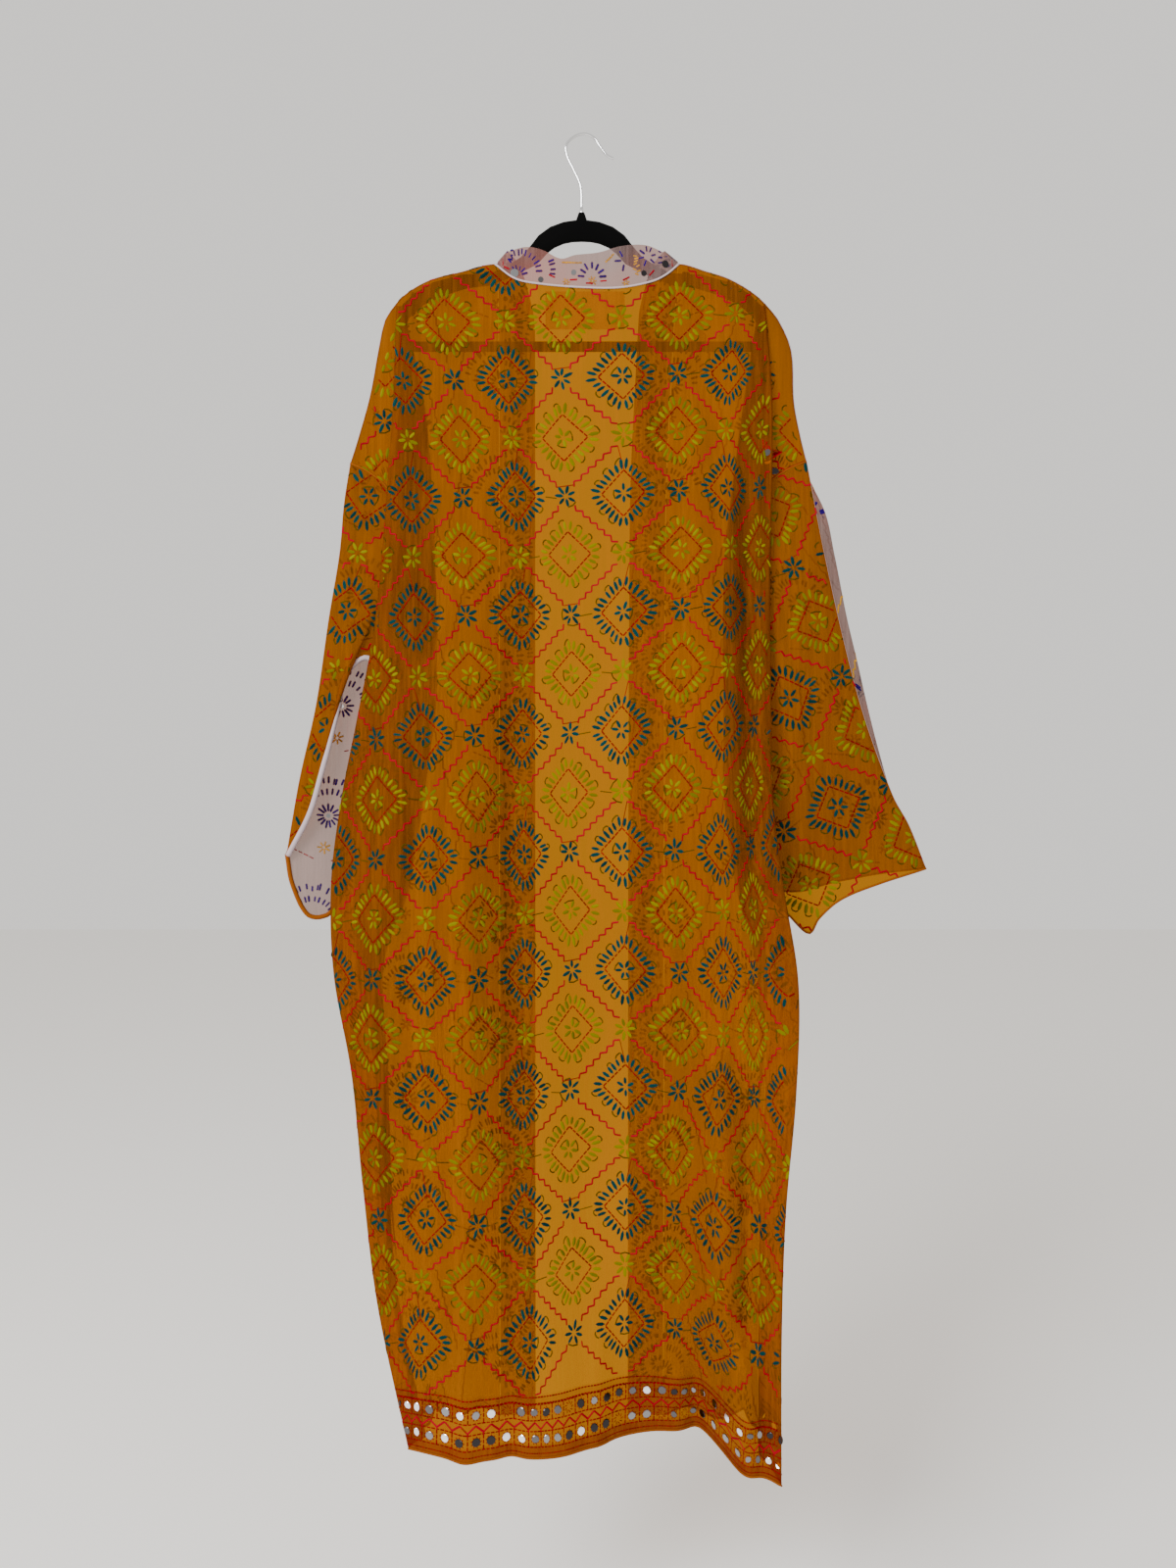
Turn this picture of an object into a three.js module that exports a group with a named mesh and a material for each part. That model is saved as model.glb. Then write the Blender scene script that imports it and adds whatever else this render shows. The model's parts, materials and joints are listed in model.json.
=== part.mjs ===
// An open kimono-style robe hung back to front on a slim hanger.
// Millimetres, +Z up. The origin is the inner top of the hanger's hook. The robe's back faces -Y,
// its open fronts face +Y, and its left sleeve is on the -X side.
import * as THREE from 'three';

// Driving dimensions
const WALL = 1.5; // thickness of every cloth wall
const HALF_SEAM = 0.95; // from a shared seam line to the middle of the wall on each side
const SEAM_GAP = 0.6; // between two walls that meet edge to edge, seen in the plane of the cloth
const HEM_Z = -1440;
const TIP_Z = -188; // height where each front fold starts on the shoulder seam
const UNDERARM_Z = -470;
const BAND_WIDTH = 40; // finished width of the neckband
const BODY_COLUMNS = 36;
const FRONT_COLUMNS = 10;
const TUCK_COLUMNS = 3; // from the front fold to the tucked-in valley behind it
const FLAP_COLUMNS = 5; // from the valley to the armhole or side seam
const ARMHOLE_STEPS = [0, 0.02, 0.11, 0.22, 0.34, 0.46, 0.58, 0.7, 0.85, 1];
const LOWER_ROWS = 12;
const SLEEVE_ROWS = 9;
const HANGER = { middle: -5, halfThickness: 2.5, barTop: -230, barBottom: -241 };
const HOOK_WIRE = 3; // diameter
const NECK_Y = -6.5; // depth of the back neckline, on the hanger's near side
const FRONT_VALLEY_Y = 6.5; // depth of the tucked valley in each front
const RIM_TUCK = 0.06; // share of the dropped shoulder taken by the tuck on the top edge
const FLARE_SHARE = 0.25; // share of a sleeve's width that flares past its seam
const BULGE_IN = 0.6; // how much flatter a sleeve is at its underarm than at its seam
const BULGE_GROWTH = 4; // a sleeve is at its full depth a quarter of the way down
const LABEL = { x: -1, y: -5, width: 88, height: 42, thickness: 0.8, top: -176 };
// Free edge of the neckband where it rolls over the shoulder, for both sides
const CROSSING = { seamZ: -141, freeX: 87, freeZ: -129 };
const BAND_TURN = [
  { x: 74, y: 9, z: -142 },
  { x: 61, y: 10, z: -186 },
];

// Shoulder seam from sleeve to sleeve: x across, z of the cloth's top
const SHOULDER = [
  { x: -222, z: -204 },
  { x: -215, z: -193 },
  { x: -200, z: -177 },
  { x: -174, z: -162 },
  { x: -140, z: -153 },
  { x: -102, z: -144 },
  { x: 104, z: -144 },
  { x: 133, z: -152 },
  { x: 160, z: -161 },
  { x: 188, z: -178 },
  { x: 204, z: -194 },
  { x: 212, z: -204 },
];

// Seam of the back neckline
const NECKLINE = [
  { x: -101, z: -147 },
  { x: -79, z: -163 },
  { x: -51, z: -169 },
  { x: -2, z: -173 },
  { x: 38, z: -173 },
  { x: 74, z: -166 },
  { x: 90, z: -158 },
  { x: 103, z: -147 },
];

// The back between its two front folds. left and right are the folds' x, and y0 to y7 the depth
// of the cloth at equal steps from the left fold to the right one.
const BACK = [
  { z: -188, left: -210, right: 198, y0: -9, y1: -8, y2: -7, y3: -7, y4: -7, y5: -8, y6: -8, y7: -9 },
  { z: -290, left: -212, right: 205, y0: -15, y1: -14, y2: -10, y3: -8, y4: -10, y5: -14, y6: -15, y7: -14 },
  { z: -380, left: -217, right: 205, y0: -20, y1: -19, y2: -12, y3: -9, y4: -12, y5: -20, y6: -22, y7: -16 },
  { z: -470, left: -223, right: 203, y0: -24, y1: -26, y2: -17, y3: -9, y4: -12, y5: -25, y6: -30, y7: -18 },
  { z: -560, left: -233, right: 202, y0: -24, y1: -33, y2: -25, y3: -10, y4: -13, y5: -32, y6: -40, y7: -23 },
  { z: -650, left: -251, right: 202, y0: -20, y1: -40, y2: -36, y3: -13, y4: -16, y5: -42, y6: -50, y7: -30 },
  { z: -740, left: -269, right: 202, y0: -18, y1: -42, y2: -45, y3: -18, y4: -16, y5: -50, y6: -60, y7: -42 },
  { z: -830, left: -280, right: 210, y0: -18, y1: -42, y2: -52, y3: -25, y4: -13, y5: -54, y6: -66, y7: -60 },
  { z: -930, left: -277, right: 221, y0: -20, y1: -36, y2: -54, y3: -29, y4: -10, y5: -44, y6: -64, y7: -88 },
  { z: -1040, left: -257, right: 216, y0: -22, y1: -30, y2: -52, y3: -30, y4: -9, y5: -32, y6: -66, y7: -104 },
  { z: -1160, left: -244, right: 204, y0: -26, y1: -32, y2: -54, y3: -34, y4: -9, y5: -28, y6: -72, y7: -112 },
  { z: -1290, left: -227, right: 200, y0: -30, y1: -40, y2: -55, y3: -40, y4: -12, y5: -20, y6: -66, y7: -110 },
  { z: -1440, left: -192, right: 200, y0: -40, y1: -60, y2: -60, y3: -54, y4: -18, y5: -4, y6: -30, y7: -108 },
];
const BACK_DEPTHS = ['y0', 'y1', 'y2', 'y3', 'y4', 'y5', 'y6', 'y7'];

// The largest creases of the back. Each runs from its top to its bottom, a positive depth stands
// proud and a negative one is a trough. width is half of what it takes up across.
const CREASES = [
  { xTop: -84, zTop: -520, xBottom: -80, zBottom: -1440, width: 13, depth: -7 },
  { xTop: 136, zTop: -960, xBottom: 144, zBottom: -1360, width: 15, depth: 18 },
  { xTop: 128, zTop: -1300, xBottom: 128, zBottom: -1440, width: 13, depth: -14 },
  { xTop: 162, zTop: -1270, xBottom: 164, zBottom: -1440, width: 17, depth: 34 },
  { xTop: 112, zTop: -980, xBottom: 118, zBottom: -1440, width: 14, depth: -9 },
  { xTop: 172, zTop: -1000, xBottom: 172, zBottom: -1360, width: 12, depth: -16 },
  { xTop: 174, zTop: -330, xBottom: 178, zBottom: -860, width: 11, depth: -8 },
  { xTop: 12, zTop: -1250, xBottom: 16, zBottom: -1440, width: 14, depth: 6 },
  { xTop: -170, zTop: -420, xBottom: -196, zBottom: -1040, width: 14, depth: -7 },
  { xTop: -130, zTop: -700, xBottom: -128, zBottom: -1440, width: 15, depth: 8 },
];
const CREASE_FADE = 90; // length over which a crease grows from nothing

// What is hidden behind each front fold: how far in the valley and the side seam lie, and their y
const SIDE = {
  left: [
    { z: -188, valleyIn: 5, valleyY: -8, seamIn: 3 },
    { z: -290, valleyIn: 30, valleyY: -6, seamIn: 16 },
    { z: -380, valleyIn: 44, valleyY: -6, seamIn: 24 },
    { z: -470, valleyIn: 54, valleyY: -7, seamIn: 31 },
    { z: -560, valleyIn: 66, valleyY: -7, seamIn: 44 },
    { z: -650, valleyIn: 82, valleyY: -8, seamIn: 61 },
    { z: -830, valleyIn: 84, valleyY: -8, seamIn: 66 },
    { z: -930, valleyIn: 50, valleyY: -9, seamIn: 36 },
    { z: -1160, valleyIn: 26, valleyY: -10, seamIn: 14 },
    { z: -1440, valleyIn: 16, valleyY: -16, seamIn: 6 },
  ],
  right: [
    { z: -188, valleyIn: 5, valleyY: -8, seamIn: 3 },
    { z: -290, valleyIn: 28, valleyY: -6, seamIn: 14 },
    { z: -380, valleyIn: 40, valleyY: -6, seamIn: 20 },
    { z: -470, valleyIn: 48, valleyY: -7, seamIn: 25 },
    { z: -650, valleyIn: 48, valleyY: -9, seamIn: 28 },
    { z: -830, valleyIn: 44, valleyY: -20, seamIn: 36 },
    { z: -930, valleyIn: 30, valleyY: -40, seamIn: 24 },
    { z: -1160, valleyIn: 16, valleyY: -50, seamIn: 10 },
    { z: -1440, valleyIn: 14, valleyY: -52, seamIn: 8 },
  ],
};

// Armhole seam from the shoulder line's end to the underarm
const ARMHOLE = {
  left: [
    { x: -262, z: -365 },
    { x: -243, z: -374 },
    { x: -222, z: -391 },
    { x: -203, z: -430 },
    { x: -192, z: -470 },
  ],
  right: [
    { x: 245, z: -363 },
    { x: 224, z: -372 },
    { x: 203, z: -388 },
    { x: 187, z: -430 },
    { x: 178, z: -470 },
  ],
};

// Outer line of the shoulder between the hanger's end and the armhole
const DROPPED_SHOULDER = {
  left: [
    { x: -210, z: -188 },
    { x: -223, z: -205 },
    { x: -231, z: -240 },
    { x: -240, z: -290 },
    { x: -253, z: -337 },
    { x: -262, z: -365 },
  ],
  right: [
    { x: 198, z: -188 },
    { x: 213, z: -205 },
    { x: 228, z: -240 },
    { x: 231, z: -297 },
    { x: 238, z: -335 },
    { x: 245, z: -363 },
  ],
};

// The fronts: how far the hidden fold stands in from the back's fold, and the depth of the cloth
// at the fold, a third and two thirds of the way to the neckband, and at the neckband
const FRONT = [
  { z: -188, foldIn: 0, y0: 9, y1: 8, y2: 8, y3: 7 },
  { z: -290, foldIn: 12, y0: 14, y1: 10, y2: 15, y3: 11 },
  { z: -380, foldIn: 14, y0: 18, y1: 12, y2: 20, y3: 13 },
  { z: -470, foldIn: 14, y0: 22, y1: 12, y2: 26, y3: 15 },
  { z: -650, foldIn: 12, y0: 28, y1: 12, y2: 34, y3: 17 },
  { z: -830, foldIn: 14, y0: 34, y1: 14, y2: 40, y3: 19 },
  { z: -1040, foldIn: 14, y0: 38, y1: 16, y2: 44, y3: 22 },
  { z: -1290, foldIn: 16, y0: 40, y1: 18, y2: 44, y3: 25 },
  { z: -1440, foldIn: 18, y0: 42, y1: 20, y2: 46, y3: 27 },
];
const FRONT_DEPTHS = ['y0', 'y1', 'y2', 'y3'];

// Seam between each front and its neckband, seen from the back
const FRONT_SEAM = [
  { z: -144, left: -99, right: 103 },
  { z: -250, left: -98, right: 97 },
  { z: -420, left: -98, right: 90 },
  { z: -1440, left: -98, right: 88 },
];

// Sleeve edges: outer line from the armhole to the cuff, cuff from outer to inner end, and inner
// line from the underarm to the cuff
const SLEEVE = {
  left: {
    outer: [
      { x: -262, z: -365 },
      { x: -269, z: -410 },
      { x: -274, z: -465 },
      { x: -286, z: -538 },
      { x: -300, z: -633 },
      { x: -319, z: -719 },
      { x: -333, z: -800 },
    ],
    inner: [
      { x: -192, z: -470 },
      { x: -197, z: -535 },
      { x: -220, z: -603 },
    ],
    cuffBack: [
      { x: -333, z: -800 },
      { x: -306, z: -750 },
      { x: -290, z: -695 },
      { x: -280, z: -653 },
      { x: -266, z: -597 },
      { x: -245, z: -580 },
      { x: -220, z: -603 },
    ],
    cuffFront: [
      { x: -333, z: -800 },
      { x: -328, z: -834 },
      { x: -310, z: -870 },
      { x: -286, z: -866 },
      { x: -262, z: -815 },
      { x: -238, z: -730 },
      { x: -220, z: -603 },
    ],
    bulgeBack: 12,
    bulgeFront: 12,
    fold: { share: 0.3, width: 0.12, depth: 3 },
    flare: [{ z: -365, out: 0 }, { z: -800, out: 0 }],
  },
  right: {
    outer: [
      { x: 245, z: -363 },
      { x: 254, z: -411 },
      { x: 264, z: -462 },
      { x: 285, z: -557 },
      { x: 308, z: -644 },
      { x: 341, z: -735 },
      { x: 359, z: -768 },
      { x: 378, z: -816 },
    ],
    inner: [
      { x: 178, z: -470 },
      { x: 182, z: -640 },
      { x: 182, z: -826 },
    ],
    cuffBack: [
      { x: 378, z: -816 },
      { x: 322, z: -833 },
      { x: 280, z: -850 },
      { x: 256, z: -870 },
      { x: 246, z: -887 },
      { x: 225, z: -868 },
      { x: 182, z: -826 },
    ],
    cuffFront: [
      { x: 378, z: -816 },
      { x: 330, z: -822 },
      { x: 280, z: -832 },
      { x: 240, z: -842 },
      { x: 200, z: -838 },
      { x: 182, z: -826 },
    ],
    bulgeBack: 13,
    bulgeFront: 12,
    fold: { share: 0.55, width: 0.12, depth: 6 },
    flare: [
      { z: -363, out: 2 },
      { z: -430, out: 9 },
      { z: -560, out: 10 },
      { z: -690, out: 8 },
      { z: -800, out: 5 },
      { z: -816, out: 2 },
    ],
  },
};

// Free edge of the neckband across the back neck
const BAND_TOP = [
  { x: -86, z: -133 },
  { x: -67, z: -128 },
  { x: -49, z: -131 },
  { x: -28, z: -141 },
  { x: -13, z: -137 },
  { x: 14, z: -134 },
  { x: 39, z: -127 },
  { x: 66, z: -126 },
  { x: 86, z: -134 },
];

// Hanger outline from its neck to its end, measured from its own middle
const HANGER_TOP = [
  { x: 3, z: -86 },
  { x: 6, z: -95 },
  { x: 20, z: -97 },
  { x: 35, z: -102.5 },
  { x: 48, z: -112 },
  { x: 58, z: -125 },
  { x: 68, z: -136.5 },
  { x: 84, z: -146.5 },
  { x: 100, z: -154 },
  { x: 133, z: -155.5 },
  { x: 165, z: -164.1 },
  { x: 186, z: -176.4 },
  { x: 200, z: -190 },
  { x: 208, z: -218 },
];
const HANGER_INNER = [
  { x: 0, z: -118.3 },
  { x: 10, z: -118.7 },
  { x: 20, z: -120.7 },
  { x: 30, z: -125 },
  { x: 38, z: -131 },
  { x: 49, z: -143 },
  { x: 76, z: -157 },
  { x: 102, z: -167 },
  { x: 127, z: -170 },
  { x: 150, z: -177 },
  { x: 175, z: -188 },
  { x: 192, z: -203 },
  { x: 198, z: -218 },
];
const HOOK_PATH = [
  { x: -5, z: -85.6 },
  { x: -6, z: -57 },
  { x: -14, z: -38 },
  { x: -21, z: -23 },
  { x: -22, z: -11 },
  { x: -13, z: -1.5 },
  { x: -1, z: 1.5 },
  { x: 9, z: -3 },
  { x: 16, z: -13 },
  { x: 23, z: -22 },
  { x: 30, z: -26 },
];

// Smooth value between listed ones, with the slope of its neighbours
function smooth(knots, values, t) {
  const last = knots.length - 1;
  if (t <= knots[0]) return values[0];
  if (t >= knots[last]) return values[last];
  let i = 0;
  while (t > knots[i + 1]) i += 1;
  const slope = (k) => {
    const a = Math.max(k - 1, 0);
    const b = Math.min(k + 1, last);
    return (values[b] - values[a]) / (knots[b] - knots[a]);
  };
  const step = knots[i + 1] - knots[i];
  const s = (t - knots[i]) / step;
  const rise = values[i + 1] - values[i];
  const m0 = slope(i) * step;
  const m1 = slope(i + 1) * step;
  return values[i] + s * m0 + s * s * (3 * rise - 2 * m0 - m1) + s * s * s * (m0 + m1 - 2 * rise);
}

// A table read by height (rows from the top down) or by x
const atHeight = (rows, key, z) => smooth(rows.map((r) => -r.z), rows.map((r) => r[key]), -z);
const atX = (rows, x) => smooth(rows.map((r) => r.x), rows.map((r) => r.z), x);

// A point on a line of listed points, at a share of its length
function along(rows, share) {
  const run = [0];
  for (let i = 1; i < rows.length; i += 1) {
    run.push(run[i - 1] + Math.hypot(rows[i].x - rows[i - 1].x, rows[i].z - rows[i - 1].z));
  }
  const at = share * run[run.length - 1];
  return { x: smooth(run, rows.map((r) => r.x), at), z: smooth(run, rows.map((r) => r.z), at) };
}

// Heights of the rows at the front fold: the armhole's own steps, then even ones to the hem
const ARMHOLE_ROWS = ARMHOLE_STEPS.length;
const FOLD_HEIGHTS = ARMHOLE_STEPS.map((a) => TIP_Z + a * (UNDERARM_Z - TIP_Z));
for (let i = 1; i <= LOWER_ROWS; i += 1) {
  FOLD_HEIGHTS.push(UNDERARM_Z + (i / LOWER_ROWS) * (HEM_Z - UNDERARM_Z));
}
const inward = (side) => (side === 'left' ? 1 : -1);
const foldX = (side, z) => atHeight(BACK, side, z);
const mix = (a, b, t) => a + (b - a) * t;

// Height of a row in a column whose top edge is at topZ
function rowHeight(topZ, row) {
  const share = (FOLD_HEIGHTS[row] - TIP_Z) / (HEM_Z - TIP_Z);
  return mix(topZ, HEM_Z, share);
}

// Armhole or side seam point that belongs to a row
function sideSeam(side, row) {
  if (row < ARMHOLE_ROWS) return along(ARMHOLE[side], ARMHOLE_STEPS[row]);
  const z = FOLD_HEIGHTS[row];
  const x = foldX(side, z) + inward(side) * atHeight(SIDE[side], 'seamIn', z);
  const ease = Math.min((row - ARMHOLE_ROWS + 1) / 2, 1);
  return { x: mix(along(ARMHOLE[side], 1).x, x, ease), z };
}

// The points of a row from its side seam to just before its front fold.
// face is -1 on the back and +1 on the fronts.
function flapPoints(side, row, face, fold) {
  const count = FLAP_COLUMNS + TUCK_COLUMNS;
  const points = [];
  if (row === 0) {
    for (let k = 0; k < count; k += 1) {
      const flap = mix(1, RIM_TUCK, k / FLAP_COLUMNS);
      const tuck = mix(RIM_TUCK, 0, (k - FLAP_COLUMNS) / TUCK_COLUMNS);
      const at = along(DROPPED_SHOULDER[side], k < FLAP_COLUMNS ? flap : tuck);
      points.push(new THREE.Vector3(at.x, face * HALF_SEAM, at.z));
    }
    return points;
  }
  const z = FOLD_HEIGHTS[row];
  const seam = sideSeam(side, row);
  const valleyX = foldX(side, z) + inward(side) * atHeight(SIDE[side], 'valleyIn', z);
  const valleyY = face < 0 ? atHeight(SIDE[side], 'valleyY', z) : FRONT_VALLEY_Y;
  const hanging = row >= ARMHOLE_ROWS;
  for (let k = 0; k < FLAP_COLUMNS; k += 1) {
    const w = k / FLAP_COLUMNS;
    const rise = hanging ? w : 1 - (1 - w) ** 2;
    const y = mix(face * HALF_SEAM, valleyY, rise);
    points.push(new THREE.Vector3(mix(seam.x, valleyX, w), y, mix(seam.z, z, w)));
  }
  for (let k = 0; k < TUCK_COLUMNS; k += 1) {
    const w = k / TUCK_COLUMNS;
    const x = mix(valleyX, fold.x, 1 - (1 - w) ** 2);
    points.push(new THREE.Vector3(x, mix(valleyY, fold.y, w), z));
  }
  return points;
}

// Top edge of the back: shoulder seams over the hanger and the neckline between them
function backTop(x) {
  const first = NECKLINE[0].x;
  const last = NECKLINE[NECKLINE.length - 1].x;
  if (x > first && x < last) return { y: NECK_Y, z: atX(NECKLINE, x) };
  return { y: -HALF_SEAM, z: atX(SHOULDER, x) };
}

// How far the creases move the back's cloth at a place
function creaseDepth(x, z) {
  const { smoothstep } = THREE.MathUtils;
  return CREASES.reduce((sum, c) => {
    const down = (c.zTop - z) / (c.zTop - c.zBottom);
    const grown = smoothstep(c.zTop - z, 0, CREASE_FADE);
    const fromEnd = c.zBottom > HEM_Z ? smoothstep(z - c.zBottom, 0, CREASE_FADE) : 1;
    const off = (x - mix(c.xTop, c.xBottom, down)) / c.width;
    return sum + c.depth * Math.exp(-off * off) * grown * fromEnd;
  }, 0);
}

// A point of the back between its folds, at a share of the way from left to right
function backPoint(share, row) {
  const topX = mix(BACK[0].left, BACK[0].right, share);
  const top = backTop(topX);
  if (row === 0) return new THREE.Vector3(topX, top.y, top.z);
  const z = rowHeight(top.z, row);
  const depths = BACK_DEPTHS.map((key) => atHeight(BACK, key, z));
  const x = mix(foldX('left', z), foldX('right', z), share);
  const steps = depths.map((_, k) => k / (depths.length - 1));
  const y = smooth(steps, depths, share) - creaseDepth(x, z);
  return new THREE.Vector3(x, y, z);
}

// A point of a front, at a share of the way from its fold to its neckband seam
function frontPoint(side, share, row) {
  const topX = mix(BACK[0][side], FRONT_SEAM[0][side], share);
  const topZ = atX(SHOULDER, topX);
  if (row === 0) return new THREE.Vector3(topX, HALF_SEAM, topZ);
  const z = rowHeight(topZ, row);
  const fold = foldX(side, z) + inward(side) * atHeight(FRONT, 'foldIn', z);
  const depths = FRONT_DEPTHS.map((key) => atHeight(FRONT, key, z));
  const steps = depths.map((_, k) => k / (depths.length - 1));
  const x = mix(fold, atHeight(FRONT_SEAM, side, z), share);
  return new THREE.Vector3(x, smooth(steps, depths, share), z);
}

// Turn a grid of points into a closed wall of cloth around it
function clothWall(grid, thickness = WALL) {
  const rows = grid.length;
  const columns = grid[0].length;
  const positions = [];
  const skin = (side) => {
    for (let i = 0; i < rows; i += 1) {
      for (let j = 0; j < columns; j += 1) {
        const row = grid[i];
        const across = row[Math.min(j + 1, columns - 1)].clone().sub(row[Math.max(j - 1, 0)]);
        const down = grid[Math.min(i + 1, rows - 1)][j].clone().sub(grid[Math.max(i - 1, 0)][j]);
        const out = across.cross(down).normalize().multiplyScalar((side * thickness) / 2);
        positions.push(...row[j].clone().add(out).toArray());
      }
    }
  };
  skin(1);
  skin(-1);
  const index = [];
  const at = (layer, i, j) => layer * rows * columns + i * columns + j;
  const quad = (a, b, c, d) => index.push(a, b, c, a, c, d);
  for (let i = 0; i + 1 < rows; i += 1) {
    for (let j = 0; j + 1 < columns; j += 1) {
      quad(at(0, i, j), at(0, i, j + 1), at(0, i + 1, j + 1), at(0, i + 1, j));
      quad(at(1, i, j), at(1, i + 1, j), at(1, i + 1, j + 1), at(1, i, j + 1));
    }
  }
  for (let j = 0; j + 1 < columns; j += 1) {
    quad(at(0, 0, j), at(1, 0, j), at(1, 0, j + 1), at(0, 0, j + 1));
    quad(at(0, rows - 1, j), at(0, rows - 1, j + 1), at(1, rows - 1, j + 1), at(1, rows - 1, j));
  }
  for (let i = 0; i + 1 < rows; i += 1) {
    quad(at(0, i, 0), at(0, i + 1, 0), at(1, i + 1, 0), at(1, i, 0));
    const end = columns - 1;
    quad(at(0, i, end), at(1, i, end), at(1, i + 1, end), at(0, i + 1, end));
  }
  const geometry = new THREE.BufferGeometry();
  geometry.setAttribute('position', new THREE.Float32BufferAttribute(positions, 3));
  geometry.setIndex(index);
  return geometry;
}

// Cloth and hanger colours
const cloth = (name, color) => new THREE.MeshStandardMaterial({
  name,
  color,
  roughness: 0.85,
  side: THREE.DoubleSide,
});
const ORANGE = () => cloth('orange_cloth', 0xc47a12);
const LILAC = () => cloth('lilac_cloth', 0xb9a6ae);

const robe = new THREE.Group();
function addPiece(name, geometry, material) {
  const mesh = new THREE.Mesh(geometry, material);
  mesh.name = name;
  robe.add(mesh);
}

function backGrid() {
  return FOLD_HEIGHTS.map((_, row) => {
    const middle = [];
    for (let k = 0; k <= BODY_COLUMNS; k += 1) middle.push(backPoint(k / BODY_COLUMNS, row));
    const left = flapPoints('left', row, -1, middle[0]);
    const right = flapPoints('right', row, -1, middle[BODY_COLUMNS]).reverse();
    return [...left, ...middle, ...right];
  });
}

function frontGrid(side) {
  const grid = FOLD_HEIGHTS.map((_, row) => {
    const middle = [];
    for (let k = 0; k <= FRONT_COLUMNS; k += 1) middle.push(frontPoint(side, k / FRONT_COLUMNS, row));
    return [...flapPoints(side, row, 1, middle[0]), ...middle];
  });
  return side === 'left' ? grid.map((row) => row.reverse()) : grid;
}

// One half of a sleeve: its four edges joined smoothly, bulging away from the other half
function sleeveGrid(side, face) {
  const part = SLEEVE[side];
  const cuff = face < 0 ? part.cuffBack : part.cuffFront;
  const bulge = face < 0 ? part.bulgeBack : part.bulgeFront;
  const gapX = -inward(side) * SEAM_GAP * 0.7;
  const cuffEnd = cuff[cuff.length - 1];
  const grid = [];
  for (let i = 0; i <= SLEEVE_ROWS; i += 1) {
    const v = i / SLEEVE_ROWS;
    const outer = along(part.outer, v);
    const inner = along(part.inner, v);
    const flareOut = face > 0 ? atHeight(part.flare, 'out', outer.z) : 0;
    const grown = Math.min(v * BULGE_GROWTH, 1);
    grid.push(ARMHOLE_STEPS.map((u) => {
      const top = along(ARMHOLE[side], u);
      const low = along(cuff, u);
      const blend = (key) => {
        const upperCorners = mix(part.outer[0][key], part.inner[0][key], u);
        const corners = mix(upperCorners, mix(cuff[0][key], cuffEnd[key], u), v);
        return mix(top[key], low[key], v) + mix(outer[key], inner[key], u) - corners;
      };
      const flare = flareOut * Math.sin(Math.PI * Math.min(u / FLARE_SHARE, 1));
      const x = blend('x') + gapX - inward(side) * flare;
      const fold = part.fold.depth * Math.exp(-(((u - part.fold.share) / part.fold.width) ** 2)) * v;
      const round = Math.sin(Math.PI * u) ** 0.8 * (1 - BULGE_IN * u);
      const depth = HALF_SEAM + fold + bulge * grown * round;
      return new THREE.Vector3(x, face * depth, blend('z') - SEAM_GAP);
    }));
  }
  const turned = side === 'left' ? face < 0 : face > 0;
  return turned ? grid : grid.map((row) => row.reverse());
}

// The neckband: up one front edge, over the shoulder, round the back neck and down the other front
function neckbandGrid() {
  const edge = (side) => {
    const rows = [];
    for (let row = FOLD_HEIGHTS.length - 1; row > 0; row -= 1) {
      const seam = frontPoint(side, 1, row);
      seam.x += inward(side) * SEAM_GAP;
      const free = seam.clone().add(new THREE.Vector3(inward(side) * BAND_WIDTH, 1, 0));
      if (row < BAND_TURN.length + 1) {
        const turn = BAND_TURN[row - 1];
        free.set(inward(side) * -turn.x, turn.y, turn.z);
      }
      rows.push([seam, free]);
    }
    return rows;
  };
  const over = (side) => [
    new THREE.Vector3(FRONT_SEAM[0][side] + inward(side) * 0.5, 0, CROSSING.seamZ),
    new THREE.Vector3(-inward(side) * CROSSING.freeX, 0, CROSSING.freeZ),
  ];
  const rows = [...edge('left'), over('left')];
  const inNeck = [];
  for (let k = 0; k <= BODY_COLUMNS; k += 1) {
    const seam = backPoint(k / BODY_COLUMNS, 0);
    if (seam.y === NECK_Y) inNeck.push(seam);
  }
  inNeck.forEach((seam, k) => {
    const freeX = mix(BAND_TOP[0].x, BAND_TOP[BAND_TOP.length - 1].x, k / (inNeck.length - 1));
    const free = new THREE.Vector3(freeX, NECK_Y - 1.5, atX(BAND_TOP, freeX));
    rows.push([seam.add(new THREE.Vector3(0, 0, SEAM_GAP)), free]);
  });
  rows.push(over('right'), ...edge('right').reverse());
  return rows.map(([seam, free]) => [seam, seam.clone().lerp(free, 0.5), free]);
}

function hangerGeometry() {
  const { middle, halfThickness, barTop, barBottom } = HANGER;
  const end = HANGER_TOP[HANGER_TOP.length - 1];
  const innerEnd = HANGER_INNER[HANGER_INNER.length - 1];
  const bothSides = (rows) => [
    ...rows.map((r) => new THREE.Vector2(r.x, r.z)),
    ...rows.filter((r) => r.x > 0).reverse().map((r) => new THREE.Vector2(-r.x, r.z)),
  ];
  const outline = [...HANGER_TOP, { x: end.x - 2, z: -232 }, { x: end.x - 12, z: barBottom }];
  const shape = new THREE.Shape(bothSides(outline).reverse());
  shape.holes.push(new THREE.Path(bothSides([...HANGER_INNER, { x: innerEnd.x, z: barTop }])));
  const flat = { depth: 2 * halfThickness, bevelEnabled: false, curveSegments: 1 };
  const geometry = new THREE.ExtrudeGeometry(shape, flat);
  geometry.rotateX(Math.PI / 2);
  geometry.translate(middle, halfThickness, 0);
  return geometry;
}

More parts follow.
